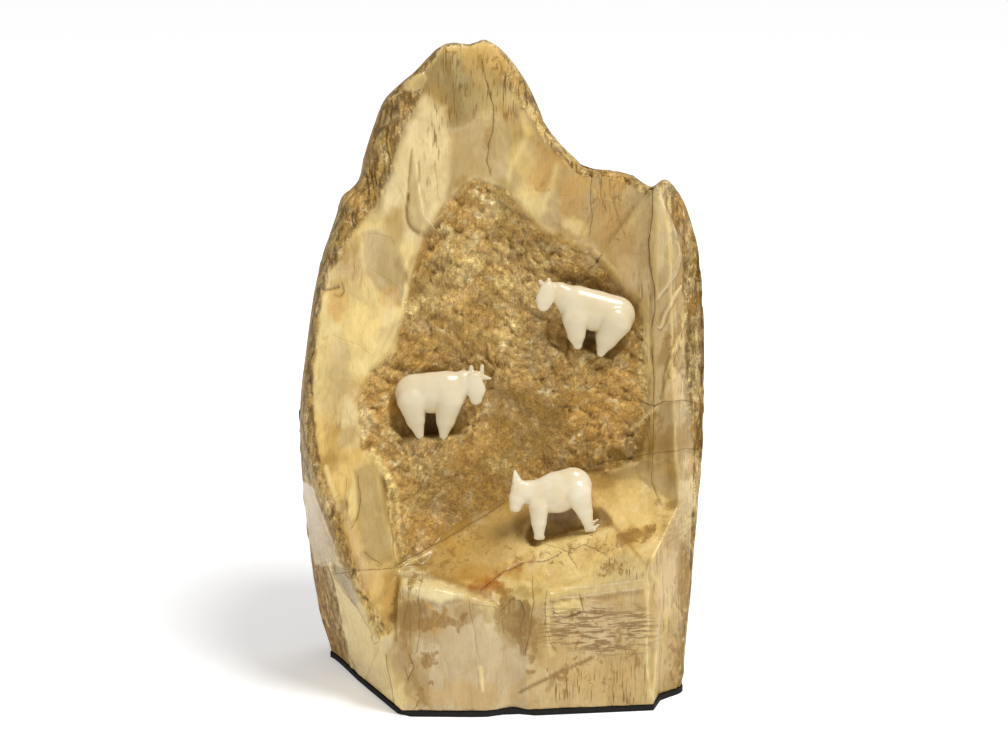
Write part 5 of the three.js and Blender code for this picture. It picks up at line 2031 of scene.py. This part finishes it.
@dataclass(frozen=True)
class Shade:
    """The nodes of one material, added one by one.

    Attributes:
        tree: The material's tree.
    """

    tree: bpy.types.NodeTree

    def kept(self, name: str, output: str = "Fac") -> Socket:
        """Return a number or colour that is kept on the mesh."""
        return node(self.tree, "ShaderNodeAttribute", attribute_name=name).outputs[output]

    def maths(self, way: str, a: object, b: object = 0.0) -> Socket:
        """Return a and b put together in one of the ways that Blender names."""
        return node(self.tree, "ShaderNodeMath", {0: a, 1: b}, operation=way).outputs[0]

    def times(self, a: object, b: object) -> Socket:
        """Return a multiplied by b."""
        return self.maths("MULTIPLY", a, b)

    def stretched(self, size: Point3) -> Socket:
        """Measure places in units of a size.

        Args:
            size: The size in mm.

        Returns:
            The measured places.
        """
        where = node(self.tree, "ShaderNodeTexCoord").outputs["Object"]
        scale = tuple(1.0 / (s * MM) for s in size)
        return node(self.tree, "ShaderNodeVectorMath", {0: where, 1: scale}, operation="MULTIPLY").outputs[0]

    def noise(self, size: Point3, detail: float = 4.0, bent: float = 0.0, ragged: float = 0.5) -> Socket:
        """Add noise that flows in bent lines.

        Args:
            size: Size of its lumps in mm.
            detail: How fine it goes.
            bent: How much it is bent.
            ragged: How strong its fine parts are.

        Returns:
            Noise from 0 to 1.
        """
        inputs = {"Vector": self.stretched(size), "Scale": 1.0, "Detail": detail,
                  "Distortion": bent, "Roughness": ragged}
        return node(self.tree, "ShaderNodeTexNoise", inputs).outputs["Fac"]

    def mapped(self, value: Socket, low: float, high: float,
               to_low: float = 0.0, to_high: float = 1.0) -> Socket:
        """Return a value mapped from low..high to to_low..to_high."""
        inputs = {"Value": value, "From Min": low, "From Max": high, "To Min": to_low, "To Max": to_high}
        return node(self.tree, "ShaderNodeMapRange", inputs).outputs["Result"]

    def mixed(self, share: object, a: object, b: object, way: str = "MIX") -> Socket:
        """Return colour a with a share of colour b mixed in."""
        inputs = {0: share, 6: a, 7: b}
        return node(self.tree, "ShaderNodeMix", inputs, data_type="RGBA", blend_type=way).outputs[2]

    def toned(self, a: Socket, b: object) -> Socket:
        """Return colour a multiplied by colour or number b."""
        return self.mixed(1.0, a, b, "MULTIPLY")

    def bump(self, strength: float, distance: float, height: Socket) -> Socket:
        """Return the surface's direction where a height in units of distance mm stands out of it."""
        inputs = {"Strength": strength, "Distance": distance * MM, "Height": height}
        return node(self.tree, "ShaderNodeBump", inputs).outputs[0]


@dataclass(frozen=True)
class Finish:
    """A finish that is built from nodes.

    Attributes:
        name: Name of the material.
        ior: Refraction of its surface.
        roughness: How matt it is where it is most polished.
        gloss: Strength of its reflections, 0.5 for clean polish.
    """

    name: str
    ior: float
    roughness: float
    gloss: float

    def build(self) -> bpy.types.Material:
        """Build the material.

        Returns:
            The material, with its main shader's inputs set or linked.
        """
        made = bpy.data.materials.new(self.name)
        made.use_nodes = True
        tree = made.node_tree
        tree.nodes.clear()
        inputs = {"IOR": self.ior, "Roughness": self.roughness, "Specular IOR Level": self.gloss}
        shader = node(tree, "ShaderNodeBsdfPrincipled", inputs)
        node(tree, "ShaderNodeOutputMaterial", {"Surface": shader.outputs[0]})
        plug(tree, shader, self.surface(Shade(tree)))
        return made

    def surface(self, shade: Shade) -> dict[str, object]:
        """Return what this finish sets or links, by the main shader's input."""
        raise NotImplementedError


@dataclass(frozen=True)
class CarvedTusk(Finish):
    """Fossil tusk ivory, cut and polished on its facets, broken in its core, weathered on its skin.

    Attributes:
        rough_roughness: How matt it is on the core and the skin.
        fibre: Size of a fibre in mm, as the next sizes are: across, across and along the tusk.
        cloud: Size of a cloud of warmer or paler ivory.
        grit: Size of the grit on rough parts.
        border: Size of the ragged steps in a border.
        mottle: Size of the faint mottling all over.
        grain: Size of a broken grain of the core.
        streak: Size of a stained pore that runs along the tusk.
        blot: Size of a lobe of a stain.
        cross: Size of a dark streak that runs across.
        scab: Size of a scab on the skin.
        crack_half: Half the width of a crack in mm.
        edge_half: Half the width of a painted highlight line in mm.
        glaze: How much light of each colour the wax lets through.
    """

    name: str = "fossil tusk ivory, carved and polished"
    ior: float = 1.54
    roughness: float = 0.27
    gloss: float = 0.28
    rough_roughness: float = 0.6
    fibre: Point3 = (0.6, 1.2, 8.0)
    cloud: Point3 = (7.0, 7.0, 11.0)
    grit: Point3 = (0.5, 0.5, 0.5)
    border: Point3 = (1.8, 1.8, 2.6)
    mottle: Point3 = (2.0, 2.0, 4.5)
    grain: Point3 = (1.0, 1.0, 0.9)
    streak: Point3 = (0.55, 1.5, 5.5)
    blot: Point3 = (2.6, 2.6, 4.0)
    cross: Point3 = (5.0, 2.0, 0.8)
    scab: Point3 = (1.8, 1.8, 2.6)
    crack_half: float = 0.14
    edge_half: float = 0.36
    glaze: Point3 = (0.93, 0.91, 0.72)

    @staticmethod
    def masked(shade: Shade, name: str, ragged: Socket) -> Socket:
        """Return a share kept on the mesh, with its border made crisp and ragged."""
        wander = shade.mapped(ragged, 0.3, 0.7, -0.3, 0.3)
        return shade.mapped(shade.maths("ADD", shade.kept(name), wander), 0.35, 0.65)

    @staticmethod
    def grain_tones(shade: Shade, cells: bpy.types.Node) -> Socket:
        """Give each broken grain its tone, from dark over even to bright, the brightest being painted
        glints.

        Args:
            shade: The material's nodes.
            cells: Node that tells the grains apart.

        Returns:
            The tones.
        """
        pick = node(shade.tree, "ShaderNodeSeparateColor", {0: cells.outputs["Color"]}).outputs[0]
        tone = node(shade.tree, "ShaderNodeValToRGB", {0: pick})
        ramp = tone.color_ramp.elements
        ramp[0].color = (0.72, 0.66, 0.54, 1.0)
        # The top of the ramp, far above white, paints glints on a few grains.
        ramp[1].color = (1.7, 1.8, 1.8, 1.0)
        ramp.new(0.45).color = (1.0, 0.97, 0.90, 1.0)
        ramp.new(0.9).color = (1.16, 1.14, 1.06, 1.0)
        return tone.outputs[0]

    def surface(self, shade: Shade) -> dict[str, object]:
        """Return what the shader shows, from the colours and shares that are kept on the mesh.

        Args:
            shade: The material's nodes.

        Returns:
            Colour, roughness and relief.
        """
        fibre = shade.noise(self.fibre, 3.0)
        cloud = shade.noise(self.cloud, 4.0, 0.7)
        grit = shade.noise(self.grit)
        border = shade.noise(self.border, 5.0)
        core = self.masked(shade, "core", border)
        skin = self.masked(shade, "skin", border)
        rough = shade.maths("MAXIMUM", core, skin)

        # A thin amber glaze over all of it, from wax and age.
        base = shade.toned(shade.kept("tint", "Color"), (*self.glaze, 1.0))
        # Long fine fibres in the ivory, which give the facets their silky grain.
        base = shade.toned(base, shade.mapped(fibre, 0.3, 0.7, 0.98, 1.015))
        mottle = shade.noise(self.mottle, 6.0, 1.2, 0.6)
        base = shade.toned(base, shade.mapped(mottle, 0.35, 0.65, 0.90, 1.06))
        # Flowing clouds of warmer and paler colour, from stain that soaked in along the layers.
        base = shade.mixed(shade.mapped(cloud, 0.50, 0.64, 0.0, 0.22), base, Tone.LEATHER)
        base = shade.mixed(shade.mapped(cloud, 0.46, 0.30, 0.0, 0.22), base, Tone.BONE)
        # Small broken grains, each with its own tone, which make the core crumble; the brightest are painted
        # glints that make it glitter.
        inputs = {"Vector": shade.stretched(self.grain), "Scale": 1.0}
        cells = node(shade.tree, "ShaderNodeTexVoronoi", inputs)
        celled = shade.toned(base, self.grain_tones(shade, cells))
        base = shade.mixed(shade.times(core, 0.6), base, celled)
        # Fine dark and light grit where the ivory is rough.
        base = shade.mixed(rough, base, shade.toned(base, shade.mapped(grit, 0.3, 0.7, 0.66, 1.30)))
        # The skin's own dark scabs and pale worn spots.
        scab = shade.noise(self.scab, 6.0, 0.6, 0.66)
        base = shade.mixed(shade.times(shade.mapped(scab, 0.45, 0.40, 0.0, 0.65), skin), base, "#4A3A1C")
        base = shade.mixed(shade.times(shade.mapped(scab, 0.56, 0.62, 0.0, 0.5), skin), base, Tone.CREAM)
        # Brown stain with a ragged, crisp border, as it soaks along the grain, and its darker middle.
        blot = shade.mapped(shade.noise(self.blot, 8.0, 0.8, 0.68), 0.25, 0.75, -0.9, 0.9)
        reach = shade.maths("ADD", shade.mapped(shade.kept("stain"), 0.0, 1.0, -0.8, 0.8), blot)
        soaked = shade.mapped(fibre, 0.35, 0.6, 0.65, 1.0)
        base = shade.mixed(shade.times(shade.mapped(reach, 0.0, 0.16, 0.0, 0.82), soaked), base, Tone.TAN)
        base = shade.mixed(shade.times(shade.mapped(reach, 0.45, 0.55, 0.0, 0.6), soaked), base, Tone.BROWN)
        # Stained pores that show as short dark streaks along the tusk, or across it.
        pores = shade.mapped(shade.noise(self.streak, 2.0), 0.56, 0.66, 0.0, 0.9)
        base = shade.mixed(shade.times(pores, shade.kept("streak")), base, "#7C5A28")
        layers = shade.mapped(shade.noise(self.cross, 4.0, 0.4, 0.6), 0.47, 0.55, 0.0, 0.8)
        base = shade.mixed(shade.times(layers, shade.kept("cross")), base, "#7C5A28")
        # Dirt that has settled in the crevices.
        base = shade.mixed(shade.times(shade.kept("pit"), 0.35), base, Tone.DARK_BROWN)
        # Painted highlights along polished edges and ridges.
        glint = shade.mapped(shade.maths("ABSOLUTE", shade.kept("bright")), self.edge_half, 0.0)
        glint = shade.times(glint, shade.mapped(border, 0.38, 0.56, 0.15, 1.0))
        base = shade.mixed(shade.times(glint, shade.kept("brightened")), base, Tone.WHITE)
        # Cracks: thin, dark and a little ragged.
        off = shade.maths("ABSOLUTE", shade.kept("crack"))
        line = shade.mapped(off, self.crack_half, self.crack_half * 0.3)
        line = shade.times(line, shade.mapped(grit, 0.3, 0.55, 0.55, 1.0))
        crack = shade.times(line, shade.kept("cracked"))
        base = shade.mixed(crack, base, "#4A3117")

        # Silky on the facets, matt and uneven on the core and the skin.
        matt = shade.mapped(rough, 0.0, 1.0, self.roughness, self.rough_roughness)
        silky = shade.mapped(fibre, 0.3, 0.7, -0.01, 0.02)
        varied = shade.mixed(rough, silky, shade.mapped(grit, 0.3, 0.7, -0.08, 0.10))
        # Faint fibres stand out on the facets, grains on the rough parts, and cracks lie in.
        flat = shade.mapped(fibre, 0.0, 1.0, 0.0, 0.025)
        relief = shade.mixed(rough, flat, shade.mixed(0.5, grit, cells.outputs["Distance"]))
        relief = shade.maths("SUBTRACT", relief, crack)
        return {"Base Color": base, "Roughness": shade.maths("ADD", matt, varied),
                "Normal": shade.bump(0.6, 0.3, relief)}


@dataclass(frozen=True)
class CarvedGoat(Finish):
    """White ivory, carved small and polished by hand.

    Attributes:
        grain: Size of the marks that the tools left, in mm.
        cloud: Size of a warmer cloud in mm.
    """

    name: str = "white ivory, hand polished"
    ior: float = 1.54
    roughness: float = 0.24
    gloss: float = 0.5
    grain: Point3 = (1.5, 1.5, 1.0)
    cloud: Point3 = (6.0, 6.0, 6.0)

    def surface(self, shade: Shade) -> dict[str, object]:
        """Show creamy white with warmer clouds, under a darker tone that grows towards the feet as painted
        shade.

        Args:
            shade: The material's nodes.

        Returns:
            What the main shader shows, by its input.
        """
        # Creamy white with warmer clouds, as ivory has when it ages.
        cloud = shade.mapped(shade.noise(self.cloud, 3.0), 0.4, 0.7, 0.0, 0.8)
        aged = shade.mixed(cloud, "#E9DDC0", "#DCC89C")
        # A darker tone all over, growing towards the legs and bellies as painted shade.
        base = shade.mixed(shade.kept("tone_and_painted_shade"), aged, "#C9B892")
        return {"Base Color": base, "Normal": shade.bump(0.2, 0.1, shade.noise(self.grain, 2.0))}


@dataclass(frozen=True)
class FeltPad(Finish):
    """Black felt, glued on and trimmed by knife.

    Attributes:
        fluff: Size of a tuft of fibres in mm.
    """

    name: str = "black felt, knife cut"
    ior: float = 1.45
    roughness: float = 0.95
    gloss: float = 0.3
    fluff: Point3 = (0.4, 0.4, 0.4)

    def surface(self, shade: Shade) -> dict[str, object]:
        """Show near black, with fibres that catch a little light so that it isn't flat.

        Args:
            shade: The material's nodes.

        Returns:
            What the main shader shows, by its input.
        """
        fluff = shade.noise(self.fluff, 5.0)
        # Fibres that catch a little light, so that the black isn't flat.
        base = shade.mixed(fluff, "#101010", "#2E2B28")
        return {"Base Color": base, "Normal": shade.bump(0.7, 0.2, fluff)}


@dataclass(frozen=True)
class Paper(Finish):
    """White background paper, laid flat.

    Attributes:
        grain: Size of the paper's grain in mm.
        glow_near: How strongly it is lit from below near the carving.
        glow_far: How strongly it is lit from below far away.
        near: How far from the carving that begins to change, in mm.
        far: How far away it has changed, in mm.
    """

    name: str = "white background paper, matt"
    ior: float = 1.45
    roughness: float = 0.8
    gloss: float = 0.5
    grain: Point3 = (2.0, 2.0, 2.0)
    glow_near: float = 0.32
    glow_far: float = 0.66
    near: float = 120.0
    far: float = 450.0

    def surface(self, shade: Shade) -> dict[str, object]:
        """Show faintly grained white, lit more and more from below so that it reads as even.

        Args:
            shade: The material's nodes.

        Returns:
            What the main shader shows, by its input.
        """
        # Lit from below more and more away from the carving, so that it reads as even white.
        where = node(shade.tree, "ShaderNodeTexCoord").outputs["Object"]
        reach = node(shade.tree, "ShaderNodeVectorMath", {0: where}, operation="LENGTH").outputs["Value"]
        glow = shade.mapped(reach, self.near * MM, self.far * MM, self.glow_near, self.glow_far)
        # Almost even white, with the faint grain of paper.
        base = shade.mixed(shade.noise(self.grain, 2.0), "#F4F4F4", "#F8F8F8")
        return {"Base Color": base, "Emission Color": "#FFFFFF", "Emission Strength": glow}


@dataclass
class Studio:
    """White paper, soft lights and the camera.

    Attributes:
        sight: Where the camera stands.
        floor_half: Half the width of the paper in mm.
        lights: Name, place in mm, size in mm and power in watts of each soft light.
        sky: Strength of the even light all round.
    """

    sight: Sight = field(default_factory=Sight)
    floor_half: float = 3000.0
    lights: tuple[tuple[str, Point3, float, float], ...] = (
        ("key", (270.0, -260.0, 840.0), 300.0, 5.7),
        ("fill", (-560.0, -460.0, 300.0), 600.0, 0.6),
        ("back", (300.0, 420.0, 600.0), 380.0, 1.0))
    sky: float = 0.33

    def build(self) -> None:
        """Lay the paper, hang the lights and place the camera."""
        scene = bpy.context.scene
        half = self.floor_half * MM
        mesh = bpy.data.meshes.new("paper")
        corners = [(-half, -half, 0), (half, -half, 0), (half, half, 0), (-half, half, 0)]
        mesh.from_pydata(corners, [], [(0, 1, 2, 3)])
        paper = add_object("paper", mesh)
        mesh.materials.append(Paper().build())
        target = Vector((PLACE[0], PLACE[1], self.sight.target_height)) * MM
        for name, place, size, power in self.lights:
            lamp = bpy.data.lights.new(name, "AREA")
            lamp.shape = "DISK"
            lamp.size = size * MM
            lamp.energy = power
            hung = bpy.data.objects.new(name, lamp)
            hung.location = Vector(place) * MM
            hung.rotation_euler = (target - hung.location).to_track_quat("-Z", "Y").to_euler()
            scene.collection.objects.link(hung)
        world = bpy.data.worlds.new("studio")
        scene.world = world
        world.use_nodes = True
        background = world.node_tree.nodes["Background"]
        background.inputs["Color"].default_value = (*linear("#FFFFFF"), 1.0)
        background.inputs["Strength"].default_value = self.sky
        raised = math.radians(self.sight.raised)
        lens = bpy.data.cameras.new("camera")
        lens.lens = self.sight.lens
        lens.sensor_width = self.sight.film
        camera = bpy.data.objects.new("camera", lens)
        away = Vector((0, -math.cos(raised), math.sin(raised))) * self.sight.distance * MM
        camera.location = target + away
        camera.rotation_euler = (math.pi / 2 - raised, 0, 0)
        scene.collection.objects.link(camera)
        scene.camera = camera
        scene.view_settings.view_transform = "Standard"


GOATS = (
    Goat("goat_middle", (-19.9, -3.46, 72.9), (
        Limb(((-4.8, 12.5, 5.3), (0.0, 12.5, 5.7), (4.0, 12.9, 5.8), (8.6, 15.3, 3.6)), 0, 2.0),
        Limb(((11.7, 16.4, 2.3), (12.2, 13.8, 2.6), (12.2, 11.3, 1.8)), 0, 0.3, 1.7, 0.6),
        Limb(((8.6, 15.6, 2.6), (12.0, 16.6, 2.2)), 0, 0.8),
        Limb(((-5.5, 10.8, 4.1), (-4.5, 5.4, 2.6), (-3.4, 1.1, 1.2)), 2.2, 0.55),
        Limb(((4.6, 10.6, 4.1), (3.8, 5.2, 2.6), (3.2, 1.0, 1.2)), 2.2, 0.55),
        Limb(((10.9, 18.0, 0.7), (10.9, 19.9, 0.6)), 0, 0.3),
        Limb(((13.7, 17.8, 0.7), (13.9, 20.1, 0.6)), 0, 0.3),
        Limb(((14.0, 16.9, 1.0), (16.2, 16.6, 0.35)), 0, 0.3))),
    Goat("goat_upper", (23.7, -1.96, 96.9), (
        Limb(((6.9, 10.2, 5.3), (1.5, 11.3, 5.6), (-3.6, 13.1, 5.2), (-8.4, 16.2, 3.1)), 0, 2.0),
        Limb(((-8.4, 16.4, 2.6), (-11.6, 17.6, 2.0)), 0, 0.8),
        Limb(((-11.9, 17.3, 2.2), (-12.5, 15.0, 2.4), (-12.9, 13.3, 1.8)), 0, 0.3, 1.5, 0.55),
        Limb(((6.6, 8.6, 4.7), (4.4, 4.0, 3.0), (2.9, 0.1, 1.2)), 2.2, 0.4),
        Limb(((-4.2, 9.5, 3.7), (-3.9, 5.0, 2.4), (-3.5, 2.3, 1.3)), 2.2, 0.6),
        Limb(((-11.6, 19.0, 0.8), (-11.5, 20.1, 0.6)), 0, 0.3),
        Limb(((-13.4, 18.9, 0.75), (-13.9, 19.7, 0.5)), 0, 0.3))),
    Goat("goat_lower", (17.0, -10.56, 46.6), (
        Limb(((1.9, 14.1, 5.3), (-2.4, 12.3, 5.8), (-6.2, 11.4, 5.0), (-9.6, 12.2, 3.4)), 0, 2.0),
        Limb(((-9.8, 12.4, 3.2), (-12.3, 13.0, 2.9)), 0, 0.7, 0.4),
        Limb(((-12.5, 13.4, 2.6), (-13.2, 10.9, 2.4), (-13.8, 8.6, 1.8)), 0, 0.4, 1.0, 0.8),
        Limb(((3.2, 12.6, 4.0), (5.2, 7.4, 2.2), (6.5, 2.8, 1.25)), 2.2, 0.5),
        Limb(((5.9, 2.3, 0.75), (7.6, 2.3, 0.75)), 2.2, 0.25),
        Limb(((7.6, 2.5, 0.6), (9.0, 3.6, 0.35)), 2.2, 0.2),
        Limb(((-7.4, 9.2, 2.9), (-7.4, 4.4, 2.1), (-7.3, 0.6, 1.4)), 2.2, 0.5),
        Limb(((-8.1, 0.0, 0.75), (-6.4, 0.0, 0.75)), 2.2, 0.25),
        Limb(((-13.4, 15.4, 1.5), (-14.1, 18.7, 0.3)), 0, 0.4)), toned=(0.0, 0.1)),
)


def main() -> None:
    """Build the carving, then its stage."""
    mountain = Mountain().build()
    mountain.data.materials.append(CarvedTusk().build())
    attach(mountain, "root")
    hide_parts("mountain")
    LOG.info("mountain: %d faces", len(mountain.data.polygons))
    white = CarvedGoat().build()
    for goat in GOATS:
        made = goat.build()
        made.data.materials.append(white)
        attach(made, "root")
        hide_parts(goat.node)
        LOG.info("%s: %d faces", goat.node, len(made.data.polygons))
    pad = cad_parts["base_pad"]
    pad.data.materials.clear()
    pad.data.materials.append(FeltPad().build())
    LOG.info("base pad: %d faces", len(pad.data.polygons))
    Studio().build()


if __name__ == "__main__":
    logging.basicConfig(level=logging.INFO, format="%(name)s: %(message)s")
    main()
